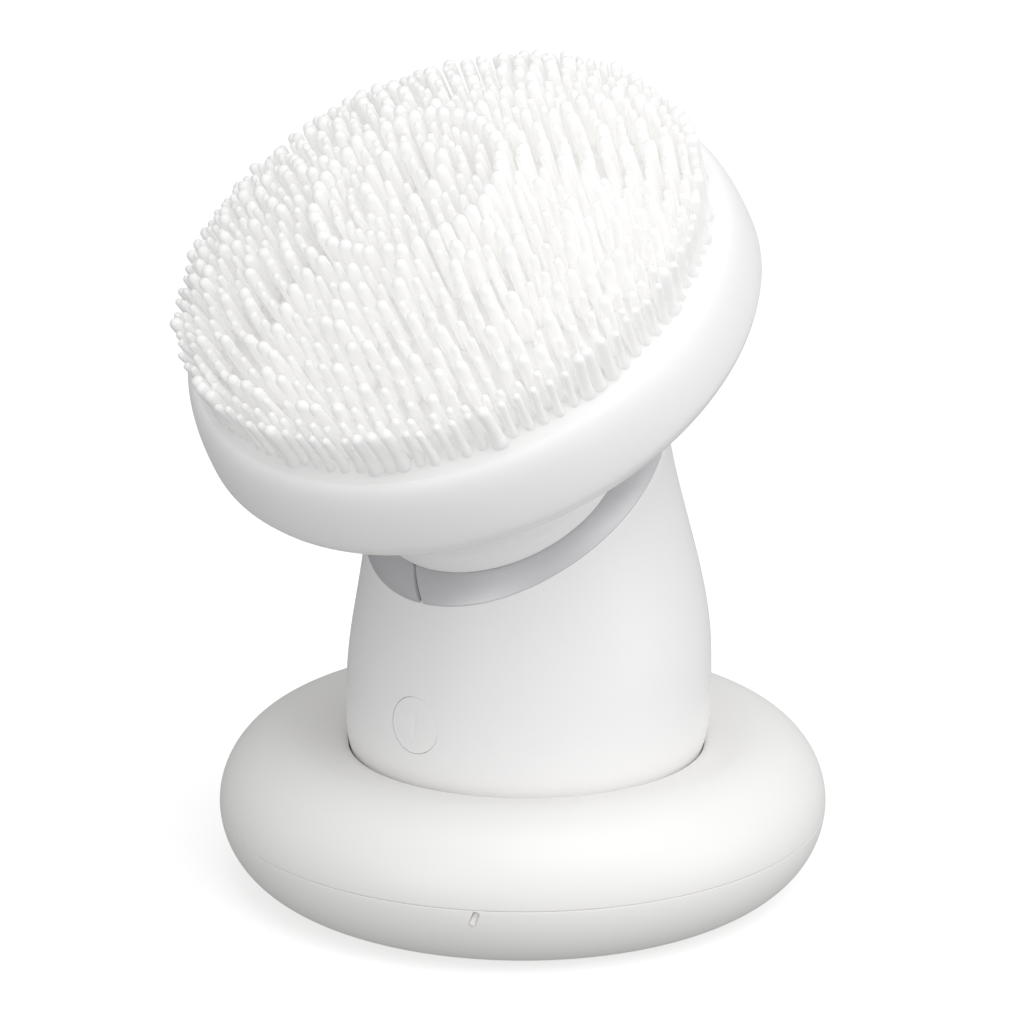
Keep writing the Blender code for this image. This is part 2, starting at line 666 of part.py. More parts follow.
def build_charging_inlet():
    """Rounded metal socket, open to the rear, with its contact tongue."""
    width, length, height = INLET_SIZE
    across = make_empty("inlet_axis", INLET_CENTRE, (math.pi / 2, 0.0, 0.0))
    outside = rounded_outline(width, height, 1.3 * MM)
    inside = rounded_outline(width - 2 * INLET_WALL, height - 2 * INLET_WALL, 1.0 * MM)
    inlet = plate("charging_inlet", [outside, inside], -length / 2, length / 2, STEEL, across)
    inner_end = length / 2
    closed_end = rounded_outline(width - SEAM, height - SEAM, 1.2 * MM)
    back = plate("inlet_back", [closed_end], inner_end - 2 * INLET_WALL, inner_end + GAP, None, across)
    tongue = rounded_outline(TONGUE_WIDTH, TONGUE_THICKNESS, 0.2 * MM)
    blade = plate("inlet_tongue", [tongue], 4 * GAP - length / 2, inner_end, None, across)
    return fuse(inlet, back, blade)


# ---------------------------------------------------------------- handle
def button_bar(name, radius, back, front, sides, turn=0.0, material=None):
    """Round bar on the button's axis; back and front are distances ahead of the world's XZ plane."""
    return cylinder(name, radius, back, front, material, location=(0.0, 0.0, BUTTON_Z),
                    rotation=(math.pi / 2, 0.0, 0.0), sides=sides, turn=turn)


def build_handle_shell():
    outer = body_rows(0.0)
    inner = body_rows(BODY_WALL)
    shell = skin("handle_shell", outer + inner[::-1], WHITE)
    return cut(shell, button_bar("cut_button", BUTTON_RADIUS + BUTTON_CLEARANCE, BUTTON_STEM_BACK,
                                 1.2 * BODY_RADIUS, 32, HOLE_TURN))


def build_power_button():
    """Round key whose face follows the handle's surface, with a retaining flange behind it."""
    key = button_bar("power_button", BUTTON_RADIUS, BUTTON_BACK, 1.05 * BODY_RADIUS, 32, 0.0, WHITE)
    combine(key, skin("handle_outside", body_rows(0.0), None), "INTERSECT")
    stem = button_bar("button_stem", BUTTON_STEM_RADIUS, BUTTON_STEM_BACK, BUTTON_STEM_FRONT, 24, BOSS_TURN)
    flange = button_bar("button_flange", BUTTON_FLANGE_RADIUS, BUTTON_FLANGE_BACK, BUTTON_FLANGE_FRONT,
                        24, HOLE_TURN)
    return fuse(key, stem, flange)


def build_trim_ring(slanted):
    """Split band that follows the slanted rim and closes in towards the neck cover."""
    columns = 36
    first = TRIM_SPLIT_ANGLE + TRIM_SPLIT_WIDTH / 2
    sweep = 2 * math.pi - TRIM_SPLIT_WIDTH
    angles = [first + sweep * c / (columns - 1) for c in range(columns)]
    low = RIM_W + SEAM
    rows = []
    for inset, share in ((0.0, 0.0), (0.0, 0.5), (0.0, 1.0), (TRIM_THICKNESS, 1.0),
                         (TRIM_THICKNESS, 0.5), (TRIM_THICKNESS, 0.0)):
        row = []
        for angle in angles:
            lower = Vector(rim_point(angle, inset, low))
            upper = Vector(collar_point(angle + TRIM_SPLIT_LEAN, inset))
            bulge = Vector((math.sin(angle), -math.cos(angle), 0.0)) * TRIM_BULGE
            row.append(lower.lerp(upper, share) + bulge * (4 * share * (1 - share)))
        rows.append(row)
    return skin("trim_ring", rows, SATIN_METAL, slanted, around=False, ring_section=True)


def build_neck_cover(slanted):
    """Domed lid on the slanted end, with a skirt inside the trim ring and a bearing boss below."""
    angles = [2 * math.pi * c / BODY_COLUMNS for c in range(BODY_COLUMNS)]
    edge_w = COLLAR_W + SEAM
    skirt_inset = TRIM_THICKNESS + GAP

    def dome_row(turn, inset, top_w):
        row = []
        for angle in angles:
            outer = Vector(collar_point(angle, inset, edge_w))
            ring = Vector((math.sin(angle), -math.cos(angle), 0.0)) * (NECK_TOP_RADIUS - inset * 0.4)
            place = ring + (outer - ring) * math.cos(turn)
            place.z = edge_w + (top_w - edge_w) * math.sin(turn)
            row.append(place)
        return row

    turns = [math.radians(t) for t in (0, 25, 55, 90)]
    rows = [dome_row(t, 0.0, NECK_TOP_W) for t in turns]
    inner_top = NECK_TOP_W - NECK_WALL
    seal_seat = NECK_TOP_W - NECK_HOLE_DEPTH
    bore_wall = [(NECK_HOLE_RADIUS, NECK_TOP_W), (NECK_HOLE_RADIUS, seal_seat), (NECK_BOSS_BORE, seal_seat),
                 (NECK_BOSS_BORE, NECK_BOSS_W), (NECK_BOSS_RADIUS, NECK_BOSS_W), (NECK_BOSS_RADIUS, inner_top)]
    for radius, w in bore_wall:
        rows.append([Vector((math.sin(a) * radius, -math.cos(a) * radius, w)) for a in angles])
    rows += [dome_row(t, skirt_inset + NECK_WALL, inner_top) for t in reversed(turns)]
    rows.append([Vector(collar_point(a, skirt_inset + NECK_WALL, NECK_SKIRT_W)) for a in angles])
    rows.append([Vector(collar_point(a, skirt_inset, NECK_SKIRT_W)) for a in angles])
    rows.append([Vector(collar_point(a, skirt_inset, edge_w)) for a in angles])
    return skin("neck_cover", rows, WHITE, slanted, ring_section=True)


def build_neck_seals(slanted):
    """Oval ring under the neck cover, lip seal round the spindle and the spindle's upper bearing."""
    count = 22
    ring = [rim_point(2 * math.pi * c / count, O_RING_INSET, O_RING_W) for c in range(count)]
    wire("neck_o_ring", ring, O_RING_THICKNESS, SEAL_BLACK, slanted, cyclic=True)
    lip = [(2.2, -11.6), (3.0, -11.2), (4.5, -11.2), (4.5, -12.8), (3.6, -12.8), (3.3, -12.2), (2.2, -12.1)]
    turned("shaft_seal", [(r * MM, w * MM) for r, w in lip], SEAL_BLACK, slanted, steps=18)
    cylinder("spindle_bush", NECK_BOSS_BORE - GAP, NECK_BOSS_W + GAP, -13.1 * MM, BRASS, slanted,
             bore=BUSH_BORE)


def build_gear_case(slanted):
    """Flat gearbox: an open case, its lid, the fixed idler axle and four screws."""
    idler_v = -GEAR_SPACING
    motor_v = -2 * GEAR_SPACING
    gears = [(0.0, 0.0, BIG_POCKET), (0.0, idler_v, BIG_POCKET), (0.0, motor_v, SMALL_POCKET)]
    lugs = [(sign * x * MM, v * MM) for x, v in ((11.0, -4.8), (7.2, -17.5)) for sign in (-1, 1)]
    rounds = [(x, y, radius + CASE_WALL) for x, y, radius in gears]
    rounds += [(x, y, LUG_RADIUS) for x, y in lugs]
    edge = belt(rounds)
    case = plate("gear_case", [edge], CASE_FLOOR_LOW, CASE_RIM, NYLON_GREY, slanted)
    above = CASE_RIM + CASE_WALL
    cut(case, plate("cut_pocket", [belt(gears)], CASE_FLOOR_TOP, above, None, slanted))
    for v, radius in ((0.0, JOURNAL_BORE), (idler_v, AXLE_BORE), (motor_v, MOTOR_SHAFT_HOLE)):
        cut(case, cylinder("cut_floor", radius, CASE_FLOOR_LOW - CASE_WALL, CASE_FLOOR_TOP + CASE_WALL, None,
                           slanted, (0.0, v, 0.0), turn=HOLE_TURN))
    for x, v in lugs:
        cut(case, cylinder("cut_lug", LUG_BORE, -28 * MM, above, None, slanted, (x, v, 0.0), sides=12,
                           turn=HOLE_TURN))
    holes = [circle(SPINDLE_RADIUS + GAP, 24), circle(AXLE_BORE, 16, (0.0, idler_v))]
    holes += [circle(LUG_BORE, 12, place) for place in lugs]
    plate("gear_case_lid", [edge] + holes, LID_LOW, LID_TOP, NYLON_GREY, slanted)
    cylinder("idler_axle", AXLE_RADIUS, CASE_FLOOR_LOW + GAP, LID_TOP - GAP, STEEL, slanted,
             (0.0, idler_v, 0.0), sides=16)
    for number, (x, v) in enumerate(lugs, 1):
        screw(f"gearbox_screw_{number}", (1.2, 0.7, 0.6, 5.2), (x, v, LID_TOP + GAP), slanted)


def build_motor(slanted):
    v = -2 * GEAR_SPACING
    back = MOTOR_FRONT - MOTOR_LENGTH
    shoulder = MOTOR_FRONT - MOTOR_BORE_DEPTH
    profile = [(MOTOR_BORE, shoulder), (MOTOR_BORE, MOTOR_FRONT), (MOTOR_RADIUS - MOTOR_EDGE, MOTOR_FRONT),
               (MOTOR_RADIUS, MOTOR_FRONT - MOTOR_EDGE), (MOTOR_RADIUS, back), (0.0, back), (0.0, shoulder)]
    turned("motor_can", profile, STEEL, slanted, (0.0, v, 0.0), steps=28)
    cap_top = back - GAP
    cylinder("motor_end_cap", MOTOR_CAP_RADIUS, cap_top - MOTOR_CAP_THICKNESS, cap_top, NYLON_GREY, slanted,
             (0.0, v, 0.0))


def build_electronics():
    """Chassis, cell, circuit board with switch and light, and the receiving coil."""
    middle = (0.0, ELECTRONICS_Y, 0.0)
    chassis = cylinder("inner_chassis", CHASSIS_RADIUS, CHASSIS_LOW, CHASSIS_TOP, NYLON_GREY, location=middle)
    fuse(chassis, box("chassis_plate", CHASSIS_PLATE_SIZE, CHASSIS_PLATE_CENTRE, None))
    cylinder("receive_coil", RECEIVE_COIL_RADIUS, RECEIVE_COIL_LOW, RECEIVE_COIL_TOP, COPPER,
             location=middle, bore=RECEIVE_COIL_BORE)
    cylinder("receive_ferrite", RECEIVE_FERRITE_RADIUS, RECEIVE_COIL_TOP + GAP, CHASSIS_LOW - GAP, FERRITE,
             location=middle)
    box("battery_cell", CELL_SIZE, CELL_CENTRE, CELL_BLUE, bevel=1.2 * MM)
    box("main_circuit_board", BOARD_SIZE, BOARD_CENTRE, BOARD_GREEN)
    button_switch = box("tact_switch", SWITCH_SIZE, (0.0, SWITCH_Y, BUTTON_Z), STEEL)
    plunger = button_bar("switch_plunger", PLUNGER_RADIUS, -SWITCH_Y, PLUNGER_FRONT, 12, BOSS_TURN)
    fuse(button_switch, plunger)
    box("power_light", LIGHT_SIZE, LIGHT_CENTRE, CLEAR)


def build_wires():
    """Two leads to the motor and two to the cell, mirrored; the routes are millimetre points."""
    motor_route = [(2.5, 1.9, 16.2), (3.6, 3.2, 15.4), (8.0, 2.5, 15.0), (9.8, -2.0, 15.0),
                   (9.9, -8.0, 15.2), (9.0, -11.6, 16.2), (7.6, -13.2, 18.0)]
    battery_route = [(5.0, 12.5, 38.4), (6.5, 11.6, 39.2), (10.0, 9.4, 38.6), (12.9, 6.0, 35.0),
                     (13.4, 0.0, 31.0), (11.6, -7.5, 28.0), (8.2, -13.2, 25.6)]
    for name, route in (("motor_lead", motor_route), ("battery_lead", battery_route)):
        for side, color, material in ((1, "red", LEAD_RED), (-1, "black", LEAD_BLACK)):
            points = [(side * x * MM, y * MM, z * MM) for x, y, z in route]
            wire(f"{name}_{color}", points, LEAD_RADIUS, material)


# ---------------------------------------------------------------- gears and spindle
def gear_outline(teeth, tooth_at):
    """Involute spur gear outline with one tooth centred on the angle tooth_at."""
    pitch = GEAR_MODULE * teeth / 2
    base = pitch * math.cos(PRESSURE_ANGLE)
    tip = pitch + ADDENDUM * GEAR_MODULE
    root = pitch - DEDENDUM * GEAR_MODULE
    half_pitch = math.pi / (2 * teeth) - TOOTH_THINNING / pitch
    half_base = half_pitch + math.tan(PRESSURE_ANGLE) - PRESSURE_ANGLE
    start = max(base, root + 0.2 * (pitch - root))

    def half_angle(radius):
        roll = math.sqrt(max((radius / base) ** 2 - 1.0, 0.0))
        return half_base - (roll - math.atan(roll))

    flank = [start, (start + tip) / 2, tip] if teeth < BIG_TEETH else [start, tip]
    sides = [(root, half_angle(start) * 1.02)] + [(radius, half_angle(radius)) for radius in flank]
    outline = []
    for tooth in range(teeth):
        middle = tooth_at + 2 * math.pi * tooth / teeth
        for radius, half in sides:
            outline.append((radius * math.cos(middle - half), radius * math.sin(middle - half)))
        for radius, half in reversed(sides):
            outline.append((radius * math.cos(middle + half), radius * math.sin(middle + half)))
    return outline


def build_motor_rotor(axis):
    """Motor shaft and pinion; the pinion has a gap between teeth towards the idler."""
    cylinder("motor_shaft", AXLE_RADIUS, -35.0 * MM, PINION_TOP + GAP, STEEL, axis, sides=16)
    outline = gear_outline(SMALL_TEETH, math.pi / 2 + math.pi / SMALL_TEETH)
    plate("motor_pinion", [outline, circle(PINION_BORE, 16)], PINION_LOW, PINION_TOP, BRASS, axis)


def build_idler(axis):
    """Compound idler: the large wheel meets the motor pinion and the small one the output gear."""
    wheel = gear_outline(BIG_TEETH, -math.pi / 2)
    pinion = gear_outline(SMALL_TEETH, math.pi / 2)
    gear = plate("idler_gear", [wheel], IDLER_LOW, IDLER_STEP, NYLON_WHITE, axis)
    small = plate("idler_small", [pinion], IDLER_STEP - GEAR_MODULE, IDLER_TOP, None, axis)
    bore = cylinder("cut_idler", IDLER_BORE, IDLER_LOW - GAP, IDLER_TOP + GAP, None, axis, sides=20,
                    turn=HOLE_TURN)
    return cut(fuse(gear, small), bore)


def build_spindle(axis):
    """Slanted output shaft with its gear, a clip below the gear and a hexagonal drive end."""
    profile = [(0.0, NECKDOWN_TOP), (NECKDOWN_RADIUS, NECKDOWN_TOP), (NECKDOWN_RADIUS, FLANGE_TOP),
               (FLANGE_RADIUS, FLANGE_TOP), (FLANGE_RADIUS, FLANGE_LOW), (SPINDLE_RADIUS, FLANGE_LOW),
               (SPINDLE_RADIUS, JOURNAL_TOP), (JOURNAL_RADIUS, JOURNAL_TOP), (JOURNAL_RADIUS, JOURNAL_END),
               (0.0, JOURNAL_END)]
    spindle = turned("spindle", profile, STEEL, axis, steps=24)
    corner = HEX_FLATS / 2 / math.cos(math.pi / 6)
    fuse(spindle, cylinder("spindle_hex", corner, NECKDOWN_TOP - GAP, SPINDLE_TOP, None, axis, sides=6))
    gap_towards_idler = -math.pi / 2 + math.pi / BIG_TEETH
    outline = gear_outline(BIG_TEETH, gap_towards_idler)
    bore = circle(SPINDLE_RADIUS + 0.25 * MM, 20)
    plate("output_gear", [outline, bore], OUTPUT_GEAR_LOW, OUTPUT_GEAR_TOP, NYLON_WHITE, axis)
    steps = 12
    opening = math.radians(35)
    clip = []
    for radius, turns in ((3.3 * MM, range(steps + 1)), (JOURNAL_RADIUS + 0.25 * MM, range(steps, -1, -1))):
        for turn in turns:
            angle = math.pi / 2 + opening + (2 * math.pi - 2 * opening) * turn / steps
            clip.append((radius * math.cos(angle), radius * math.sin(angle)))
    plate("spindle_clip", [clip], -26.3 * MM, -25.9 * MM, STEEL, axis)


# ---------------------------------------------------------------- head
def dome_profile(radius_of_dome, crown, edge_radius, steps):
    """Points of a shallow dome from its crown out to its edge."""
    centre = crown - radius_of_dome
    radii = [edge_radius * step / steps for step in range(steps + 1)]
    return [(r, centre + math.sqrt(radius_of_dome ** 2 - r ** 2)) for r in radii]


def build_silicone_face(axis):
    """Soft cap: a domed face and a rounded side wall that reaches down to the seam."""
    outer = dome_profile(FACE_DOME, FACE_CROWN, FACE_EDGE_RADIUS - 1.0 * MM, 4)
    outer += quarter_arc((FACE_EDGE_RADIUS, FACE_EDGE_W), (HEAD_RADIUS, 0.0), 3, True)
    inner = dome_profile(FACE_DOME - SILICONE, FACE_CROWN - SILICONE, FACE_EDGE_RADIUS - 1.6 * MM, 3)
    inner += quarter_arc((30.9 * MM, 6.6 * MM), (HEAD_RADIUS - SILICONE, 0.0), 2, True)
    profile = outer + [(HEAD_RADIUS, HEAD_SEAM), (HEAD_RADIUS - SILICONE, HEAD_SEAM)] + inner[::-1]
    return turned("silicone_face", profile, SILICONE_WHITE, axis, steps=HEAD_STEPS)


def build_bristle_field(axis):
    """Closed envelope of all the bristles, from their roots on the dome to their tips."""
    roots = dome_profile(FACE_DOME, FACE_CROWN + GAP, FACE_EDGE_RADIUS - 1.2 * MM, 3)
    tips = dome_profile(TIP_DOME, TIP_CROWN, TIP_EDGE_RADIUS, 4)
    return turned("bristle_field", tips + roots[::-1], SILICONE_WHITE, axis, steps=HEAD_STEPS)


def build_head_core(axis):
    """Rigid dome that carries the silicone, with a post down to the hub."""
    reach = SILICONE + GAP
    inside = reach + CORE_WALL
    outer = dome_profile(FACE_DOME - reach, FACE_CROWN - reach, FACE_EDGE_RADIUS - 2.2 * MM, 3)
    outer += quarter_arc((30.5 * MM, 6.2 * MM), (HEAD_RADIUS - reach, 0.0), 2, True)
    inner = dome_profile(FACE_DOME - inside, FACE_CROWN - inside, FACE_EDGE_RADIUS - 3.6 * MM, 3)
    inner += quarter_arc((29.1 * MM, 5.4 * MM), (HEAD_RADIUS - inside, 0.0), 2, True)
    low = HEAD_SEAM + GAP
    profile = outer + [(HEAD_RADIUS - reach, low), (HEAD_RADIUS - inside, low)] + inner[::-1]
    core = turned("head_core", profile, NYLON_GREY, axis, steps=24)
    post = cylinder("core_post", CORE_POST_RADIUS, CORE_POST_LOW, CORE_POST_TOP, None, axis, sides=12,
                    turn=BOSS_TURN)
    return fuse(core, post)


def cover_arc(inset, steps):
    """Quarter oval of the head's underside, from the seam in to its flat middle."""
    points = []
    reach = HEAD_RADIUS - BACK_FLAT_RADIUS - inset
    depth = -BACK_FLAT_W - inset
    start = math.asin((-HEAD_SEAM + SEAM) / depth)
    for step in range(steps + 1):
        t = start + (math.pi / 2 - start) * step / steps
        points.append((BACK_FLAT_RADIUS + reach * math.cos(t), -depth * math.sin(t)))
    return points


def hub_screw_places():
    return circle(HUB_SCREW_RADIUS, 3, turn=math.pi / 2)


def build_head_back_cover(axis):
    outer = cover_arc(0.0, 5)
    inner = cover_arc(COVER_WALL, 3)
    hole = HUB_RADIUS + 0.4 * MM
    profile = outer + [(hole, BACK_FLAT_W), (hole, BACK_FLAT_W + COVER_WALL)] + inner[::-1]
    cover = turned("head_back_cover", profile, WHITE, axis, steps=HEAD_STEPS)
    boss_low = BACK_FLAT_W + 1.0 * MM
    boss_top = HUB_FLANGE_LOW - GAP
    for x, y in hub_screw_places():
        fuse(cover, cylinder("cover_boss", 1.7 * MM, boss_low, boss_top, None, axis, (x, y, 0.0), sides=10,
                             turn=BOSS_TURN))
    for x, y in hub_screw_places():
        cut(cover, cylinder("cut_cover", HUB_SCREW_BORE, boss_low - SEAM, boss_top + SEAM, None, axis,
                            (x, y, 0.0), sides=8, turn=HOLE_TURN))
    return cover


def build_hub(axis):
    """Flanged socket that grips the spindle's hexagon, with a spring ring in its groove."""
    profile = [(0.0, HUB_TOP), (HUB_RADIUS, HUB_TOP), (HUB_RADIUS, HUB_FLANGE_TOP),
               (HUB_FLANGE_RADIUS, HUB_FLANGE_TOP), (HUB_FLANGE_RADIUS, HUB_FLANGE_LOW),
               (HUB_RADIUS, HUB_FLANGE_LOW), (HUB_RADIUS, HUB_LOW), (0.0, HUB_LOW)]
    hub = turned("hub_socket", profile, NYLON_GREY, axis, steps=24)
    corner = (HEX_FLATS / 2 + 0.25 * MM) / math.cos(math.pi / 6)
    cut(hub, cylinder("cut_hex", corner, HUB_LOW - GAP, 0.0, None, axis, sides=6))
    groove_half = 0.5 * MM
    cut(hub, cylinder("cut_groove", CLIP_GROOVE_RADIUS, CLIP_W - groove_half, CLIP_W + groove_half, None,
                      axis, sides=18, turn=HOLE_TURN))
    for x, y in hub_screw_places():
        cut(hub, cylinder("cut_flange", HUB_SCREW_BORE, HUB_FLANGE_LOW - GAP, HUB_FLANGE_TOP + GAP, None,
                          axis, (x, y, 0.0), sides=8, turn=HOLE_TURN))
    steps = 7
    opening = math.radians(30)
    turns = [opening + (2 * math.pi - 2 * opening) * step / steps for step in range(steps + 1)]
    clip_radius = 3.15 * MM
    ring = [(clip_radius * math.cos(a), clip_radius * math.sin(a), CLIP_W) for a in turns]
    wire("hub_clip", ring, 0.3 * MM, STEEL, axis)
    for number, (x, y) in enumerate(hub_screw_places(), 1):
        screw(f"hub_screw_{number}", (1.3, 0.8, 0.6, 2.8), (x, y, HUB_FLANGE_TOP + GAP), axis)


# ---------------------------------------------------------------- assembly
clear_scene()
PARTS = make_collection(COLLECTION)
CUTTERS = make_collection("cutters")

WARM_WHITE = make_material("dock_white", (0.86, 0.85, 0.83), 0.38)
WHITE = make_material("handle_white", (0.86, 0.86, 0.86), 0.35)
SILICONE_WHITE = make_material("silicone_white", (0.88, 0.87, 0.85), 0.5)
SATIN_METAL = make_material("satin_metal", (0.62, 0.62, 0.65), 0.35, 1.0)
PAD_GREY = make_material("pad_grey", (0.55, 0.55, 0.55), 0.8)
CLEAR = make_material("clear_window", (0.9, 0.9, 0.9), 0.2)
STEEL = make_material("steel", (0.6, 0.6, 0.6), 0.3, 1.0)
BRASS = make_material("brass", (0.7, 0.55, 0.25), 0.35, 1.0)
COPPER = make_material("copper", (0.72, 0.4, 0.2), 0.35, 1.0)
FERRITE = make_material("ferrite", (0.08, 0.08, 0.09), 0.6)
BOARD_GREEN = make_material("circuit_board", (0.03, 0.2, 0.09), 0.5)
CELL_BLUE = make_material("cell_wrap", (0.1, 0.2, 0.45), 0.4)
NYLON_GREY = make_material("nylon_grey", (0.45, 0.45, 0.46), 0.5)
NYLON_WHITE = make_material("nylon_white", (0.8, 0.8, 0.78), 0.45)
SEAL_BLACK = make_material("seal_black", (0.03, 0.03, 0.03), 0.7)
LEAD_RED = make_material("lead_red", (0.6, 0.05, 0.04), 0.5)
LEAD_BLACK = make_material("lead_black", (0.03, 0.03, 0.03), 0.5)

slanted_frame = make_empty("slanted_frame", HEAD_CENTRE, (SLANT, 0.0, 0.0))
spindle_axis = make_empty("spindle_axis", (0.0, 0.0, 0.0), parent=slanted_frame)
head_axis = make_empty("head_axis", (0.0, 0.0, 0.0), parent=slanted_frame)
idler_axis = make_empty("idler_axis", (0.0, -GEAR_SPACING, 0.0), parent=slanted_frame)
motor_axis = make_empty("motor_axis", (0.0, -2 * GEAR_SPACING, 0.0), parent=slanted_frame)

build_dock()
build_handle_shell()
build_power_button()
build_trim_ring(slanted_frame)
build_neck_cover(slanted_frame)
build_neck_seals(slanted_frame)
build_gear_case(slanted_frame)
build_motor(slanted_frame)
build_electronics()
build_wires()
build_motor_rotor(motor_axis)
build_idler(idler_axis)
build_spindle(spindle_axis)
build_silicone_face(head_axis)
build_bristle_field(head_axis)
build_head_core(head_axis)
build_head_back_cover(head_axis)
build_hub(head_axis)
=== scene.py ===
"""Looks of a slanted facial cleansing brush in its dock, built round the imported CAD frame.

Metres, +Z up, -Y is the front. Pieces on the slanted spindle are made in a slanted frame whose Z is
the spindle axis, whose Y runs up and back, and whose origin is the centre of the head's widest circle.
"""
import json
import math
import random

import bmesh
import bpy
from mathutils import Matrix, Vector


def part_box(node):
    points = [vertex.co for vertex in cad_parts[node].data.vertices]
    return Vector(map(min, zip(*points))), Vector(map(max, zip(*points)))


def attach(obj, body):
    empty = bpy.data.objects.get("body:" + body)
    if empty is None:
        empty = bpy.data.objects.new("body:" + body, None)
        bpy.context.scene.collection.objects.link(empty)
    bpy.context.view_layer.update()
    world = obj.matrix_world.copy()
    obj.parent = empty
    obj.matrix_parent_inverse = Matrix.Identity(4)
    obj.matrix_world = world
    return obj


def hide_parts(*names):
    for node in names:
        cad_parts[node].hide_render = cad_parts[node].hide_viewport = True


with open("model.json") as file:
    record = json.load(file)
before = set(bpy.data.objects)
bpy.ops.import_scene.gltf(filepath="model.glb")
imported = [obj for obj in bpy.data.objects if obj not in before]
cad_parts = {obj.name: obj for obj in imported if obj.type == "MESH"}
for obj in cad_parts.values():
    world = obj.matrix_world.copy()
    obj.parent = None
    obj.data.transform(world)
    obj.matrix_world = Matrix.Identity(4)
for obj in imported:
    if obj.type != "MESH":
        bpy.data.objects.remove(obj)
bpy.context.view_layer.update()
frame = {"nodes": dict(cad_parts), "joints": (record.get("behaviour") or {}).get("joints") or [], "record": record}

MM = 0.001
HEAD_SEAM_GAP = 0.06 * MM
FINE_GAP = 0.03 * MM
SHARP_ANGLE = math.radians(35)
TURN_STEPS = 192
LOFT_STEPS = 160

# The slanted frame comes from the joint that spins the head.
spin = next(joint for joint in frame["joints"] if joint["name"] == "head_spin")
HEAD_CENTRE = Vector(spin["pos_m"])
SLANT = math.atan2(-spin["axis"][1], spin["axis"][2])
SLANTED = Matrix.Translation(HEAD_CENTRE) @ Matrix.Rotation(SLANT, 4, "X")

# Dock
DOCK_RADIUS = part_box("dock_upper_shell")[1].x
DOCK_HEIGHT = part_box("dock_upper_shell")[1].z
DOCK_FOOT_Z = 0.05 * MM
DOCK_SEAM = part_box("dock_lower_shell")[1].z
DOCK_EQUATOR = 9.9 * MM
DOCK_FOOT_RADIUS = 26.45 * MM
DOCK_CREST_RADIUS = 28.0 * MM
DOCK_HOLE_RADIUS = 21.38 * MM
DOCK_HOLE_Z = 16.73 * MM
DOCK_CREST_FULLNESS = 1.926
DOCK_LIP_FULLNESS = 1.546
WELL_SHIFT = 0.7 * MM
DOCK_WALL = 1.6 * MM
DOCK_SEAM_EASE = 0.08 * MM
DOCK_EDGE_EASE = 0.25 * MM
WELL_FLOOR = 7.2 * MM
WELL_FLOOR_RADIUS = 16.5 * MM
PAD_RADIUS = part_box("anti_slip_pad")[1].x
PAD_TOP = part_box("anti_slip_pad")[1].z
PAD_GAP = 0.3 * MM
PAD_EASE = 0.3 * MM
PLATE_TOP = 2.9 * MM
INLET_GAP = 0.25 * MM
INLET_ROUNDING = 1.4 * MM
WINDOW_SIZE = (0.8 * MM, 6.0 * MM, 1.9 * MM)
WINDOW_ROUNDING = 0.28 * MM
WINDOW_TILT = math.radians(-12.0)
WINDOW_LEAN = math.radians(20.0)

# Handle
BODY_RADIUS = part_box("handle_shell")[1].x
BODY_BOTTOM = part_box("handle_shell")[0].z
BODY_WIDEST_Z = 24.0 * MM
BODY_SQUARENESS = 3.0
BODY_TAPER = 0.05
BODY_TAPER_SPAN = 22.0 * MM
BODY_TAPER_POWER = 1.2
BODY_BLEND_START = 0.14
LEAN_MIDDLE = 30 * MM
LEAN_OFFSET = 1.42 * MM
LEAN_SLOPE = 1.12 * MM
LEAN_CURVE = -0.93 * MM
BODY_WALL = 1.8 * MM
RIM_EASE = 0.12 * MM
RIM_W = -20.2 * MM
RIM_HALF_WIDTH = 17.8 * MM
RIM_HALF_LENGTH = 21.2 * MM
RIM_OFFSET = -4.0 * MM
COLLAR_W = -18.0 * MM
COLLAR_HALF_WIDTH = 15.2 * MM
COLLAR_FRONT = -21.8 * MM
COLLAR_BACK = 14.0 * MM
COLLAR_OFFSET = -6.5 * MM
TRIM_THICKNESS = 1.2 * MM
TRIM_GAP = 0.3 * MM
TRIM_BULGE = 0.3 * MM
TRIM_SPLIT_ANGLE = math.radians(0.4)
TRIM_SPLIT_LEAN = math.radians(-9.9)
TRIM_SPLIT_WIDTH = math.radians(2.2)
NECK_TOP_W = -9.9 * MM
NECK_TOP_RADIUS = 9.0 * MM
NECK_TOP_INSET = 0.4
NECK_SKIRT_W = -19.9 * MM
NECK_WALL = 1.5 * MM
NECK_EDGE = 0.08 * MM
NECK_GROOVE = 0.2 * MM
NECK_GROOVE_TURN = math.radians(16)
NECK_GROOVE_WIDTH = math.radians(2.2)
NECK_HOLE_RADIUS = 2.6 * MM
NECK_HOLE_EASE = 0.3 * MM
NECK_LIP = 1.0 * MM
NECK_BORE_RADIUS = 4.8 * MM
NECK_BOSS_RADIUS = 6.2 * MM
NECK_BOSS_W = -17.5 * MM
BUTTON_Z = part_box("power_button")[0].lerp(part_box("power_button")[1], 0.5).z
BUTTON_RADIUS = 3.4 * MM
BUTTON_GAP = 0.05 * MM
BUTTON_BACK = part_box("power_button")[1].y
BUTTON_EASE = 0.08 * MM
MARK_HALF_WIDTH = 0.22 * MM
MARK_HALF_LENGTH = 1.2 * MM
MARK_SOFTNESS = 0.12 * MM
MARK_DEPTH = 0.04 * MM

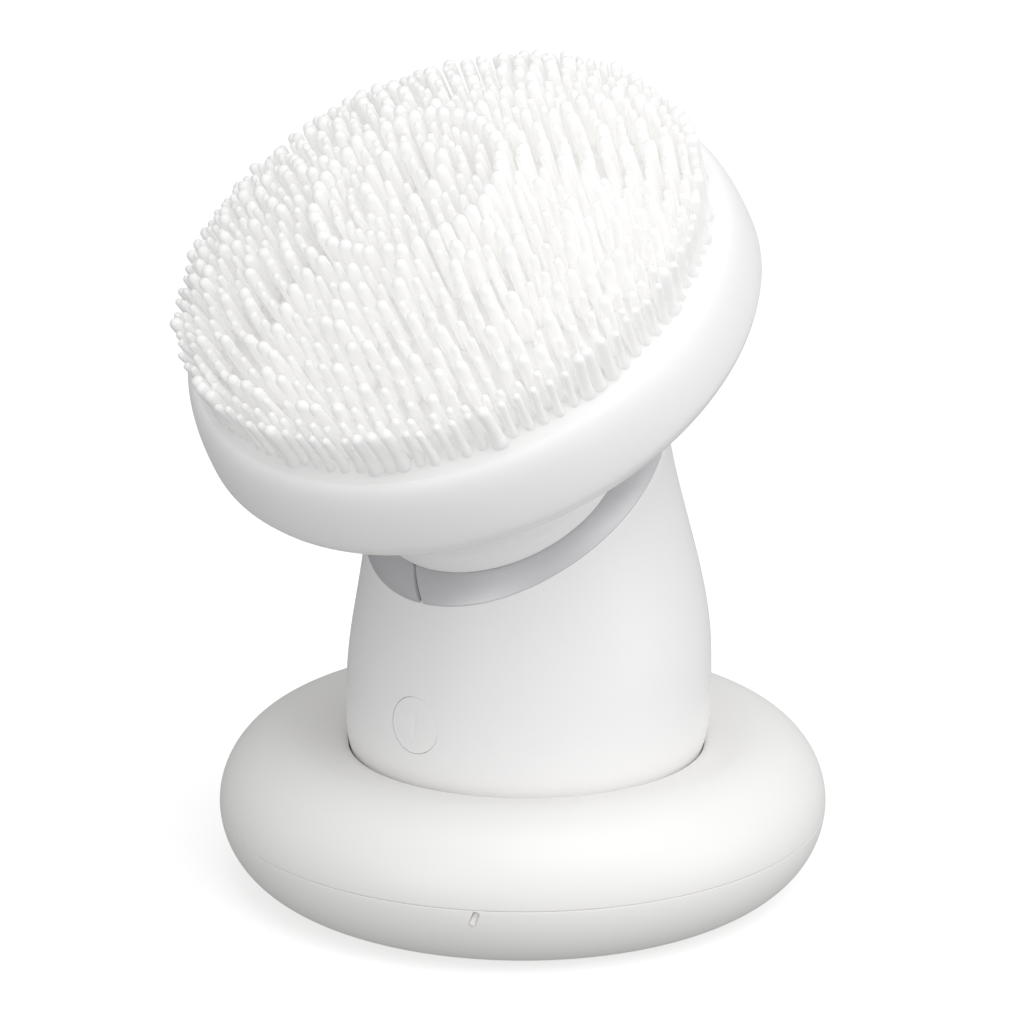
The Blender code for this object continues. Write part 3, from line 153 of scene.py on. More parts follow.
# Head, in the slanted frame
HEAD_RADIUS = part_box("silicone_face")[1].x
HEAD_SEAM = -0.75 * MM
BACK_FULLNESS = 2.12
FACE_EDGE_RADIUS = 32.1 * MM
FACE_EDGE_W = 8.0 * MM
FACE_DOME = 57.0 * MM
FACE_CROWN = 18.0 * MM
FACE_SHOULDER = 1.0 * MM
SILICONE = 1.6 * MM
SILICONE_EASE = 0.15 * MM
FACE_INNER_EDGE = (30.9 * MM, 6.6 * MM)
TIP_DOME = 52.0 * MM
TIP_CROWN = 26.0 * MM
BACK_FLAT_RADIUS = 13.7 * MM
BACK_FLAT_W = -6.6 * MM
COVER_WALL = 1.5 * MM
COVER_EASE = 0.1 * MM
HUB_HOLE_RADIUS = 5.3 * MM

# Camera and rendering
CAMERA_AZIMUTH = math.radians(38.0)
CAMERA_ELEVATION = math.radians(17.5)
CAMERA_DISTANCE = 0.6
CAMERA_LENS = 177.9
CAMERA_SENSOR = 36.0
TARGET_HEIGHT = 45.6 * MM
TARGET_LEFT = 1.29 * MM
BOUNCES = 12

# Silicone finish, with a faint painted glow that lifts the shade between the bristles
SILICONE_SCATTER = 0.5
SILICONE_DEPTH = 3.0 * MM
SILICONE_PAINTED_GLOW = 0.04

# Studio
SKY = 0.52
SKY_SIDE = 0.12
SKY_FRONT = 0.15
SKY_UP = 0.2
FLOOR_SIZE = 4.0
FLOOR_WHITE = 0.75
FLOOR_GLOW = 0.5
LAMP_AIM = Vector((0.0, 0.0, 45 * MM))
LAMP_DISTANCE = 1.0
# Each lamp: name, direction as shares right, towards the camera and up, size in metres, power in watts
LAMPS = [
    ("key", (0.25, 0.45, 0.8), 0.9, 3.5),
    ("front_fill", (-0.6, 1.0, 0.15), 0.5, 1.5),
    ("side", (0.9, 0.3, 0.15), 0.6, 1.5),
]

# Bristles in rings; each ring is given as its tip radius in millimetres, its count and its kind
THIN_RADIUS = 0.48 * MM
THICK_RADIUS = 0.8 * MM
LEAST_THICK_SHARE = 0.85
FAN = 0.035
ROOT_DEPTH = 0.25 * MM
THIN_SHORTER = 0.6 * MM
THICK_SHORTER = 0.1 * MM
RADIUS_SCATTER = 0.12 * MM
ANGLE_SCATTER = 0.08
LENGTH_SCATTER = 0.25 * MM
SWAY = 0.16 * MM
RUNS = 15
BRISTLE_RINGS = [
    (2.1, 5, "thin"), (4.7, 11, "thick"), (6.8, 26, "thin"), (8.9, 32, "thin"), (11.2, 38, "thick"),
    (13.6, 40, "mixed"), (15.9, 46, "mixed"), (18.1, 52, "mixed"), (20.3, 58, "mixed"), (22.5, 64, "mixed"),
    (24.7, 68, "mixed"), (26.8, 74, "mixed"), (28.8, 80, "mixed"), (30.3, 92, "thin"), (31.5, 104, "mixed"),
]


# ---------------------------------------------------------------- mesh helpers
def smoothstep(share):
    """Rises from 0 to 1 with level ends as share goes from 0 to 1."""
    return share * share * (3.0 - 2.0 * share)


def face_outwards(mesh):
    """Flips a closed mesh's faces if they point inwards."""
    shape = bmesh.new()
    shape.from_mesh(mesh)
    if shape.calc_volume(signed=True) < 0.0:
        mesh.flip_normals()
    shape.free()


def piece_from(name, points, faces, material, body, matrix=None, sharp=SHARP_ANGLE):
    """Smooth-shaded mesh piece that rides on a CAD body."""
    mesh = bpy.data.meshes.new(name)
    mesh.from_pydata([tuple(point) for point in points], [], faces)
    face_outwards(mesh)
    if matrix is not None:
        mesh.transform(matrix)
    mesh.materials.append(material)
    mesh.shade_smooth()
    mesh.set_sharp_from_angle(angle=sharp)
    piece = bpy.data.objects.new(name, mesh)
    bpy.context.scene.collection.objects.link(piece)
    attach(piece, body)
    return piece


def stand_for(piece, node):
    """The piece takes a CAD node's place; the node is hidden."""
    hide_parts(node)
    return piece


def eased(outline, radius, steps=4):
    """The closed outline with its sharp corners rounded to the radius where its sides are long enough."""
    rounded = []
    for before, corner, after in zip(outline[-1:] + outline[:-1], outline, outline[1:] + outline[:1]):
        here = Vector(corner)
        back = Vector(before) - here
        ahead = Vector(after) - here
        if corner[0] < MM * 0.01 or back.length < 1e-6 or ahead.length < 1e-6:
            rounded.append(corner)
            continue
        opening = back.angle(ahead)
        if opening > math.radians(150):
            rounded.append(corner)
            continue
        reach = min(radius / math.tan(opening / 2), back.length * 0.45, ahead.length * 0.45)
        start = here + back.normalized() * reach
        end = here + ahead.normalized() * reach
        for step in range(steps + 1):
            t = step / steps
            point = start * (1 - t) ** 2 + here * 2 * t * (1 - t) + end * t ** 2
            rounded.append((point.x, point.y))
    return rounded


def quarter_arc(start, end, steps, level_first, fullness=2.0):
    """Quarter oval from start to end, horizontal at start with level_first; fullness 2 is an ellipse."""
    points = []
    for step in range(steps + 1):
        t = math.pi / 2 * step / steps
        rise = math.sin(t) ** (2 / fullness)
        ease = 1.0 - math.cos(t) ** (2 / fullness)
        across, up = (rise, ease) if level_first else (ease, rise)
        points.append((start[0] + (end[0] - start[0]) * across, start[1] + (end[1] - start[1]) * up))
    return points


def dome_height(dome_radius, crown, r):
    """Height of a dome at a distance r from its axis."""
    return crown - dome_radius + math.sqrt(dome_radius ** 2 - r ** 2)


def dome(radius, crown, edge_radius, steps):
    """Points of a shallow dome from its crown out to its edge."""
    radii = [edge_radius * step / steps for step in range(steps + 1)]
    return [(r, dome_height(radius, crown, r)) for r in radii]


def grid_faces(rows, closed_rows, closed_columns):
    """Quads between rows of point numbers. Repeated numbers at a pole make triangles."""
    faces = []
    last = len(rows) if closed_rows else len(rows) - 1
    for r in range(last):
        row = rows[r]
        following = rows[(r + 1) % len(rows)]
        columns = len(row) if closed_columns else len(row) - 1
        for c in range(columns):
            d = (c + 1) % len(row)
            corners = tuple(dict.fromkeys((row[c], row[d], following[d], following[c])))
            if len(corners) > 2:
                faces.append(corners)
    return faces


def turned(name, outline, material, body, matrix=None):
    """Turned piece from a closed (radius, height) outline."""
    points = []
    rows = []
    for radius, height in outline:
        if radius < MM * 0.001:
            rows.append([len(points)] * TURN_STEPS)
            points.append((0.0, 0.0, height))
            continue
        rows.append(list(range(len(points), len(points) + TURN_STEPS)))
        for step in range(TURN_STEPS):
            angle = 2 * math.pi * step / TURN_STEPS
            points.append((radius * math.cos(angle), radius * math.sin(angle), height))
    return piece_from(name, points, grid_faces(rows, True, True), material, body, matrix)


def loft(name, rows, material, body, closed_rows=True, closed_columns=True, matrix=None):
    """Piece skinned over rows of points."""
    columns = len(rows[0])
    numbers = [list(range(r * columns, (r + 1) * columns)) for r in range(len(rows))]
    points = [point for row in rows for point in row]
    faces = grid_faces(numbers, closed_rows, closed_columns)
    if not closed_columns:
        faces.append(tuple(row[0] for row in numbers))
        faces.append(tuple(row[-1] for row in reversed(numbers)))
    return piece_from(name, points, faces, material, body, matrix)


def cut_by(piece, size, centre, rotation, bevel):
    """Cuts a round-edged box out of a piece and applies the cut."""
    mesh = bpy.data.meshes.new("cutter")
    corners = [(x * size[0] / 2, y * size[1] / 2, z * size[2] / 2)
               for x in (-1, 1) for y in (-1, 1) for z in (-1, 1)]
    sides = [(0, 1, 3, 2), (4, 6, 7, 5), (0, 4, 5, 1), (2, 3, 7, 6), (0, 2, 6, 4), (1, 5, 7, 3)]
    mesh.from_pydata(corners, [], sides)
    cutter = bpy.data.objects.new("cutter", mesh)
    bpy.context.scene.collection.objects.link(cutter)
    cutter.location = centre
    cutter.rotation_euler = rotation
    rounding = cutter.modifiers.new("rounded", "BEVEL")
    rounding.width = bevel
    rounding.segments = 4
    apply_cut(piece, cutter)


def apply_cut(piece, cutter):
    """Takes the cutter out of the piece for good and removes the cutter."""
    boolean = piece.modifiers.new("cut", "BOOLEAN")
    boolean.operation = "DIFFERENCE"
    boolean.object = cutter
    bpy.context.view_layer.update()
    result = bpy.data.meshes.new_from_object(piece.evaluated_get(bpy.context.evaluated_depsgraph_get()))
    piece.modifiers.clear()
    piece.data = result
    result.shade_smooth()
    result.set_sharp_from_angle(angle=SHARP_ANGLE)
    bpy.data.objects.remove(cutter, do_unlink=True)


# ---------------------------------------------------------------- materials
def surface(name, color, roughness, metallic=0.0, mottle=0.02, mottle_scale=60.0, grain=0.02,
            grain_scale=2500.0, subsurface=0.0, painted_glow=0.0, stretch=None):
    """Moulded, rubber or metal finish: slight colour and gloss variation, a fine surface grain, and an optional
    faint painted glow in the finish's own colour.
    """
    material = bpy.data.materials.new(name)
    material.use_nodes = True
    nodes = material.node_tree.nodes
    link = material.node_tree.links.new
    shader = nodes["Principled BSDF"]
    shader.inputs["Metallic"].default_value = metallic
    shader.inputs["Subsurface Weight"].default_value = subsurface
    shader.inputs["Subsurface Radius"].default_value = (1.0, 1.0, 1.0)
    shader.inputs["Subsurface Scale"].default_value = SILICONE_DEPTH
    # Painted glow: the surface gives off light in its own colour, by the glow strength, to lift its shade.
    shader.inputs["Emission Color"].default_value = (*color, 1.0)
    shader.inputs["Emission Strength"].default_value = painted_glow
    place = nodes.new("ShaderNodeTexCoord")
    mapping = nodes.new("ShaderNodeMapping")
    link(place.outputs["Object"], mapping.inputs["Vector"])
    if stretch is not None:
        mapping.inputs["Scale"].default_value = stretch
    clouds = nodes.new("ShaderNodeTexNoise")
    clouds.inputs["Scale"].default_value = mottle_scale
    clouds.inputs["Detail"].default_value = 4.0
    link(mapping.outputs["Vector"], clouds.inputs["Vector"])
    tint = nodes.new("ShaderNodeMix")
    tint.data_type = "RGBA"
    tint.inputs["A"].default_value = (*[max(0.0, c * (1 - mottle)) for c in color], 1.0)
    tint.inputs["B"].default_value = (*[min(1.0, c * (1 + mottle)) for c in color], 1.0)
    link(clouds.outputs["Fac"], tint.inputs["Factor"])
    link(tint.outputs["Result"], shader.inputs["Base Color"])
    gloss = nodes.new("ShaderNodeMapRange")
    gloss.inputs["To Min"].default_value = roughness * 0.9
    gloss.inputs["To Max"].default_value = min(1.0, roughness * 1.1)
    link(clouds.outputs["Fac"], gloss.inputs["Value"])
    link(gloss.outputs["Result"], shader.inputs["Roughness"])
    fine = nodes.new("ShaderNodeTexNoise")
    fine.inputs["Scale"].default_value = grain_scale
    fine.inputs["Detail"].default_value = 2.0
    link(mapping.outputs["Vector"], fine.inputs["Vector"])
    bump = nodes.new("ShaderNodeBump")
    bump.inputs["Strength"].default_value = grain
    bump.inputs["Distance"].default_value = 0.05 * MM
    link(fine.outputs["Fac"], bump.inputs["Height"])
    link(bump.outputs["Normal"], shader.inputs["Normal"])
    return material


def winding(name, color, pitch):
    """Fine wire wound in circles about the vertical axis, as fine ridges."""
    material = surface(name, color, 0.35, mottle=0.1)
    nodes = material.node_tree.nodes
    link = material.node_tree.links.new
    nodes.remove(nodes["Bump"])
    place = nodes.new("ShaderNodeTexCoord")
    turns = nodes.new("ShaderNodeTexWave")
    turns.wave_type = "RINGS"
    turns.rings_direction = "Z"
    turns.inputs["Scale"].default_value = 1.0 / pitch / 2
    link(place.outputs["Object"], turns.inputs["Vector"])
    ridge = nodes.new("ShaderNodeBump")
    ridge.inputs["Strength"].default_value = 0.8
    ridge.inputs["Distance"].default_value = pitch / 2
    link(turns.outputs["Fac"], ridge.inputs["Height"])
    link(ridge.outputs["Normal"], nodes["Principled BSDF"].inputs["Normal"])
    return material


def make_finishes():
    """One finish for each of the record's material slots."""
    return {
        "dock_white": surface("dock_white", (0.91, 0.905, 0.89), 0.42, mottle=0.006, grain=0.05),
        "handle_white": surface("handle_white", (0.9, 0.895, 0.895), 0.4, mottle=0.006, grain=0.04),
        # The silicone's glow is painted light that lifts the shade between the bristles.
        "silicone_white": surface("silicone_white", (0.97, 0.967, 0.962), 0.5, mottle=0.01, grain=0.08,
                                  subsurface=SILICONE_SCATTER, painted_glow=SILICONE_PAINTED_GLOW),
        "satin_metal": surface("satin_metal", (0.64, 0.64, 0.66), 0.48, metallic=0.7, mottle=0.03,
                               grain=0.06, stretch=(1.0, 1.0, 12.0)),
        "pad_grey": surface("pad_grey", (0.55, 0.55, 0.54), 0.8, mottle=0.05, grain=0.5,
                            grain_scale=900.0),
        "clear_window": surface("clear_window", (0.82, 0.81, 0.78), 0.4, mottle=0.01),
        "steel": surface("steel", (0.6, 0.6, 0.6), 0.3, metallic=1.0, mottle=0.05, grain=0.1,
                         stretch=(1.0, 1.0, 15.0)),
        "brass": surface("brass", (0.75, 0.58, 0.28), 0.32, metallic=1.0, mottle=0.08, grain=0.1),
        "copper": winding("copper", (0.72, 0.36, 0.18), 0.35 * MM),
        "ferrite": surface("ferrite", (0.08, 0.08, 0.085), 0.6, mottle=0.2, grain=0.5, grain_scale=1500.0),
        "circuit_board": surface("circuit_board", (0.03, 0.2, 0.09), 0.35, mottle=0.3, mottle_scale=500.0),
        "cell_wrap": surface("cell_wrap", (0.1, 0.2, 0.45), 0.3, mottle=0.05, grain=0.2, grain_scale=400.0),
        "nylon_grey": surface("nylon_grey", (0.45, 0.45, 0.46), 0.5, mottle=0.04, grain=0.2),
        "nylon_white": surface("nylon_white", (0.8, 0.8, 0.77), 0.45, mottle=0.02, grain=0.1),
        "seal_black": surface("seal_black", (0.03, 0.03, 0.03), 0.65, mottle=0.2, grain=0.3),
        "lead_red": surface("lead_red", (0.6, 0.05, 0.04), 0.45, mottle=0.05, grain=0.1),
        "lead_black": surface("lead_black", (0.03, 0.03, 0.03), 0.45, mottle=0.1, grain=0.1),
    }


def dress_cad_nodes(finishes):
    """Each CAD node that stays gets the finish of its own slot."""
    for entry in frame["record"]["subparts"]:
        node = frame["nodes"][entry["node"]]
        for slot in node.material_slots:
            slot.material = finishes[entry["material_slot"]]


# ---------------------------------------------------------------- dock
def dock_side(inset, steps=24):
    """The dock's round side from the seam down to the foot, moved inwards by inset."""
    reach = DOCK_RADIUS - DOCK_FOOT_RADIUS - inset
    rise = DOCK_EQUATOR - DOCK_FOOT_Z - inset
    start = math.asin((DOCK_EQUATOR - DOCK_SEAM) / rise)
    turns = [start + (math.pi / 2 - start) * step / steps for step in range(steps + 1)]
    return [(DOCK_FOOT_RADIUS + reach * math.cos(t), DOCK_EQUATOR - rise * math.sin(t)) for t in turns]


def build_dock_lower(material):
    """Lower half with its flat floor, a slot for the status window and the charging opening."""
    outer = dock_side(0.0)
    inner = [point for point in dock_side(DOCK_WALL) if point[1] > PLATE_TOP]
    recess = PAD_RADIUS + PAD_GAP
    shelf = PAD_TOP + PAD_GAP
    outline = outer + [(recess, DOCK_FOOT_Z), (recess, shelf), (0.0, shelf), (0.0, PLATE_TOP)]
    outline += [(inner[-1][0] - DOCK_WALL, PLATE_TOP)] + inner[::-1]
    shell = turned("dock_lower", eased(outline, DOCK_SEAM_EASE), material, "dock")
    low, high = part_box("charging_inlet")
    opening = (high.x - low.x + 2 * INLET_GAP, 10 * MM, high.z - low.z + 2 * INLET_GAP)
    behind = (0.0, high.y + 2 * MM, (low.z + high.z) / 2)
    cut_by(shell, opening, behind, (0.0, 0.0, 0.0), INLET_ROUNDING)
    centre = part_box("status_window")[0].lerp(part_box("status_window")[1], 0.5)
    turn = math.atan2(centre.x, -centre.y)
    cut_by(shell, WINDOW_SIZE, centre, (WINDOW_TILT, WINDOW_LEAN, turn), WINDOW_ROUNDING)
    return stand_for(shell, "dock_lower_shell")


def build_dock_upper(material):
    """Upper half: a round crest that rolls into a well set back to be concentric with the handle's base."""
    seam = DOCK_SEAM + FINE_GAP
    crest = quarter_arc((DOCK_CREST_RADIUS, DOCK_HEIGHT), (DOCK_RADIUS, DOCK_EQUATOR), 40, True,
                        DOCK_CREST_FULLNESS)
    lip = quarter_arc((DOCK_HOLE_RADIUS, DOCK_HOLE_Z), (DOCK_CREST_RADIUS, DOCK_HEIGHT), 20, False,
                      DOCK_LIP_FULLNESS)
    well = quarter_arc((WELL_FLOOR_RADIUS, WELL_FLOOR), (DOCK_HOLE_RADIUS, DOCK_HOLE_Z), 16, True)
    inner_crest = quarter_arc((DOCK_CREST_RADIUS, DOCK_HEIGHT - DOCK_WALL),
                              (DOCK_RADIUS - DOCK_WALL, DOCK_EQUATOR), 16, True)
    step_out = DOCK_WALL / 3
    under_well = quarter_arc((WELL_FLOOR_RADIUS + step_out, WELL_FLOOR - DOCK_WALL),
                             (DOCK_HOLE_RADIUS + DOCK_WALL, DOCK_HOLE_Z - step_out), 8, True)
    outline = [(0.0, WELL_FLOOR)] + well[:-1] + lip + crest[1:]
    outline += [(DOCK_RADIUS, seam + DOCK_SEAM_EASE), (DOCK_RADIUS - DOCK_SEAM_EASE, seam)]
    outline += [(DOCK_RADIUS - DOCK_WALL, seam)]
    outline += inner_crest[::-1] + under_well[::-1] + [(0.0, WELL_FLOOR - DOCK_WALL)]
    shell = turned("dock_upper", eased(outline[::-1], DOCK_EDGE_EASE), material, "dock")
    for vertex in shell.data.vertices:
        radius = math.hypot(vertex.co.x, vertex.co.y)
        share = (DOCK_CREST_RADIUS - radius) / (DOCK_CREST_RADIUS - DOCK_HOLE_RADIUS)
        share = min(1.0, max(0.0, share))
        vertex.co.y += WELL_SHIFT * smoothstep(share)
    return stand_for(shell, "dock_upper_shell")


def build_pad(material):
    """Anti-slip pad with a rounded edge."""
    outline = eased([(PAD_RADIUS, PAD_TOP), (PAD_RADIUS, 0.0), (0.0, 0.0), (0.0, PAD_TOP)], PAD_EASE)
    return stand_for(turned("anti_slip_foot", outline, material, "dock"), "anti_slip_pad")


# ---------------------------------------------------------------- handle
def rim_point(angle, inset=0.0, w=RIM_W):
    """Slanted oval where the handle shell ends. Angle 0 is the front."""
    x = (RIM_HALF_WIDTH - inset) * math.sin(angle)
    v = RIM_OFFSET - (RIM_HALF_LENGTH - inset) * math.cos(angle)
    return Vector((x, v, w))


def collar_point(angle, inset=0.0, w=COLLAR_W):
    """Egg-shaped outline of the neck cover, fuller at the front."""
    reach = COLLAR_OFFSET - COLLAR_FRONT if math.cos(angle) > 0 else COLLAR_BACK - COLLAR_OFFSET
    x = (COLLAR_HALF_WIDTH - inset) * math.sin(angle)
    v = COLLAR_OFFSET - (reach - inset) * math.cos(angle)
    return Vector((x, v, w))


def centreline(z):
    """The handle leans back slightly as it rises."""
    lift = (z - LEAN_MIDDLE) / LEAN_MIDDLE
    return LEAN_OFFSET + LEAN_SLOPE * lift + LEAN_CURVE * lift ** 2


def body_radius(z):
    """Radius of the handle at a height, below the slanted stretch."""
    if z < BODY_WIDEST_Z:
        drop = (BODY_WIDEST_Z - z) / (BODY_WIDEST_Z - BODY_BOTTOM)
        return BODY_RADIUS * (1.0 - min(1.0, drop) ** BODY_SQUARENESS) ** (1 / BODY_SQUARENESS)
    return BODY_RADIUS * (1.0 - BODY_TAPER * ((z - BODY_WIDEST_Z) / BODY_TAPER_SPAN) ** BODY_TAPER_POWER)


def upper_point(angle, share, inset):
    """Point above the handle's widest height; share runs from 0 there to 1 at the slanted rim."""
    rim = SLANTED @ rim_point(angle, inset)
    z = BODY_WIDEST_Z + (rim.z - BODY_WIDEST_Z) * share
    radius = body_radius(z) - inset
    place = Vector((radius * math.sin(angle), centreline(z) - radius * math.cos(angle), z))
    rim_radius = body_radius(rim.z) - inset
    rim_front = centreline(rim.z) - rim_radius * math.cos(angle)
    straight = Vector((rim_radius * math.sin(angle), rim_front, rim.z))
    blend = max(0.0, (share - BODY_BLEND_START) / (1.0 - BODY_BLEND_START))
    return place + (rim - straight) * smoothstep(blend)


def lower_row(turn, inset, angles):
    """Row of the rounded lower half; turn runs from the bottom to a right angle at the widest."""
    radius = (BODY_RADIUS - inset) * math.sin(turn) ** (2 / BODY_SQUARENESS)
    z = BODY_WIDEST_Z - (BODY_WIDEST_Z - BODY_BOTTOM - inset) * math.cos(turn) ** (2 / BODY_SQUARENESS)
    return [(radius * math.sin(a), centreline(z) - radius * math.cos(a), z) for a in angles]


def build_handle(material):
    """Egg-shaped shell with a rounded edge at its slanted rim and a round hole for the button."""
    angles = [2 * math.pi * c / LOFT_STEPS for c in range(LOFT_STEPS)]
    turns = [math.radians(2 + 88 * step / 30) for step in range(31)]
    shares = [step / 26 for step in range(1, 26)]
    rows = [lower_row(t, 0.0, angles) for t in turns]
    rows += [[upper_point(a, share, 0.0) for a in angles] for share in shares]
    for inset, drop in ((0.0, 1.0), (0.3, 0.3), (1.0, 0.0)):
        rows.append([SLANTED @ rim_point(a, RIM_EASE * inset, RIM_W - RIM_EASE * drop) for a in angles])
    inner = [lower_row(t, BODY_WALL, angles) for t in turns[::3]]
    inner += [[upper_point(a, share, BODY_WALL) for a in angles] for share in shares[::3] + [1.0]]
    columns = len(angles)
    outer_floor = [(0.0, centreline(BODY_BOTTOM), BODY_BOTTOM)] * columns
    inner_bottom = BODY_BOTTOM + BODY_WALL
    inner_floor = [(0.0, centreline(inner_bottom), inner_bottom)] * columns
    shell = loft("handle_body", [outer_floor] + rows + inner[::-1] + [inner_floor], material, "handle",
                 closed_rows=False)
    weld(shell)
    cut_button_hole(shell)
    return stand_for(shell, "handle_shell")


def weld(piece):
    """Joins the points that coincide."""
    joined = piece.modifiers.new("weld", "WELD")
    joined.merge_threshold = 0.001 * MM
    bpy.context.view_layer.update()
    mesh = bpy.data.meshes.new_from_object(piece.evaluated_get(bpy.context.evaluated_depsgraph_get()))
    piece.modifiers.clear()
    piece.data = mesh


def cut_button_hole(shell):
    """A round hole through the front wall."""
    radius = BUTTON_RADIUS + BUTTON_GAP
    sides = 96
    side_turn = 0.37
    depths = (-BODY_RADIUS * 1.2, -BODY_RADIUS * 0.7)
    points = []
    for y in depths:
        for side in range(sides):
            angle = 2 * math.pi * (side + side_turn) / sides
            points.append((radius * math.cos(angle), y, BUTTON_Z + radius * math.sin(angle)))
    near = list(range(sides))
    far = list(range(sides, 2 * sides))
    faces = grid_faces([near, far], False, True) + [tuple(reversed(near)), tuple(far)]
    mesh = bpy.data.meshes.new("button_hole")
    mesh.from_pydata(points, [], faces)
    face_outwards(mesh)
    cutter = bpy.data.objects.new("button_hole", mesh)
    bpy.context.scene.collection.objects.link(cutter)
    apply_cut(shell, cutter)


def button_mark(x, z):
    """Depth of the short upright bar pressed into the button's face."""
    away = math.hypot(x, max(0.0, abs(z) - MARK_HALF_LENGTH))
    share = min(1.0, max(0.0, (away - MARK_HALF_WIDTH) / MARK_SOFTNESS))
    return MARK_DEPTH * (1.0 - smoothstep(share))


def build_button(material):
    """Round key whose face follows the handle, with a softened edge and a pressed mark."""
    rings = 44
    sides = 96
    rows = []
    for ring in range(rings + 1):
        radius = BUTTON_RADIUS * ring / rings
        over = max(0.0, radius - (BUTTON_RADIUS - BUTTON_EASE)) / BUTTON_EASE
        sink = BUTTON_EASE * (1.0 - math.sqrt(max(0.0, 1.0 - over * over)))
        row = []
        for side in range(sides):
            angle = 2 * math.pi * side / sides
            x = radius * math.cos(angle)
            z = radius * math.sin(angle)
            height = BUTTON_Z + z
            front = centreline(height) - math.sqrt(body_radius(height) ** 2 - x * x)
            row.append((x, front + sink + button_mark(x, z), height))
        rows.append(row)
    rows.append([(x, BUTTON_BACK, z) for x, _, z in rows[-1]])
    rows.append([(0.0, BUTTON_BACK, BUTTON_Z)] * sides)
    key = loft("button", rows, material, "power_button", closed_rows=False)
    weld(key)
    return stand_for(key, "power_button")


def build_trim(material):
    """Split satin band between the handle and the neck cover, with rounded edges."""
    columns = 200
    first = TRIM_SPLIT_ANGLE + TRIM_SPLIT_WIDTH / 2
    sweep = 2 * math.pi - TRIM_SPLIT_WIDTH
    angles = [first + sweep * c / (columns - 1) for c in range(columns)]
    low = RIM_W + FINE_GAP
    edge = 0.03
    section = [(0.1, 0.0), (0.03, 0.01), (0.0, edge)]
    section += [(0.0, edge + (1 - 2 * edge) * step / 12) for step in range(1, 13)]
    section += [(0.03, 0.99), (0.1, 1.0), (1.0, 1.0), (1.0, 0.5), (1.0, 0.0)]
    rows = []
    for depth, share in section:
        inset = TRIM_THICKNESS * depth
        row = []
        for angle in angles:
            lower = rim_point(angle, inset, low)
            upper = collar_point(angle + TRIM_SPLIT_LEAN, inset)
            outwards = Vector((math.sin(angle), -math.cos(angle), 0.0))
            row.append(lower.lerp(upper, share) + outwards * TRIM_BULGE * 4 * share * (1 - share))
        rows.append(row)
    ring = loft("trim_band", rows, material, "handle", closed_columns=False, matrix=SLANTED)
    return stand_for(ring, "trim_ring")


def build_neck(material):
    """Domed lid inside the trim band with a shallow groove round it and a hole for the spindle."""
    angles = [2 * math.pi * c / LOFT_STEPS for c in range(LOFT_STEPS)]
    edge_w = COLLAR_W + FINE_GAP
    turns = [math.radians(1.0 + 89.0 * step / 90) for step in range(91)]

    def dome_point(angle, turn, inset, top_w):
        outer = collar_point(angle, inset, edge_w)
        outwards = Vector((math.sin(angle), -math.cos(angle), 0.0))
        top = outwards * (NECK_TOP_RADIUS - inset * NECK_TOP_INSET)
        place = top + (outer - top) * math.cos(turn)
        place.z = edge_w + (top_w - edge_w) * math.sin(turn)
        away = (turn - NECK_GROOVE_TURN) / NECK_GROOVE_WIDTH
        return place - outwards * NECK_GROOVE * math.exp(-away * away)

    hidden = TRIM_THICKNESS + TRIM_GAP
    skirt = ((hidden, NECK_SKIRT_W), (hidden, edge_w), (NECK_EDGE, edge_w))
    rows = [[collar_point(a, inset, w) for a in angles] for inset, w in skirt]
    rows += [[dome_point(a, t, 0.0, NECK_TOP_W) for a in angles] for t in turns]
    boss = [(NECK_HOLE_RADIUS + NECK_HOLE_EASE, NECK_TOP_W), (NECK_HOLE_RADIUS, NECK_TOP_W - NECK_HOLE_EASE)]
    boss += [(NECK_HOLE_RADIUS, NECK_TOP_W - NECK_LIP), (NECK_BORE_RADIUS, NECK_TOP_W - NECK_LIP)]
    boss += [(NECK_BORE_RADIUS, NECK_BOSS_W), (NECK_BOSS_RADIUS, NECK_BOSS_W)]
    boss += [(NECK_BOSS_RADIUS, NECK_TOP_W - NECK_WALL)]
    for radius, w in boss:
        rows.append([Vector((math.sin(a) * radius, -math.cos(a) * radius, w)) for a in angles])
    inner_turns = [math.radians(t) for t in (90, 60, 30, 0)]
    inner = hidden + NECK_WALL
    rows += [[dome_point(a, t, inner, NECK_TOP_W - NECK_WALL) for a in angles] for t in inner_turns]
    rows.append([collar_point(a, inner, NECK_SKIRT_W) for a in angles])
    neck = loft("neck_lid", rows, material, "handle", matrix=SLANTED)
    return stand_for(neck, "neck_cover")


# ---------------------------------------------------------------- head
def build_face(material):
    """Silicone cap: a shallow dome, a soft shoulder and a side that reaches down to the seam."""
    outer = dome(FACE_DOME, FACE_CROWN, FACE_EDGE_RADIUS - FACE_SHOULDER, 40)
    outer += quarter_arc((FACE_EDGE_RADIUS, FACE_EDGE_W), (HEAD_RADIUS, 0.0), 24, True)
    inner = dome(FACE_DOME - SILICONE, FACE_CROWN - SILICONE, FACE_EDGE_RADIUS - SILICONE, 10)
    inner += quarter_arc(FACE_INNER_EDGE, (HEAD_RADIUS - SILICONE, 0.0), 8, True)
    outline = outer + [(HEAD_RADIUS, HEAD_SEAM), (HEAD_RADIUS - SILICONE, HEAD_SEAM)] + inner[::-1]
    cap = turned("face_cap", eased(outline, SILICONE_EASE, 6)[::-1], material, "head", SLANTED)
    return stand_for(cap, "silicone_face")


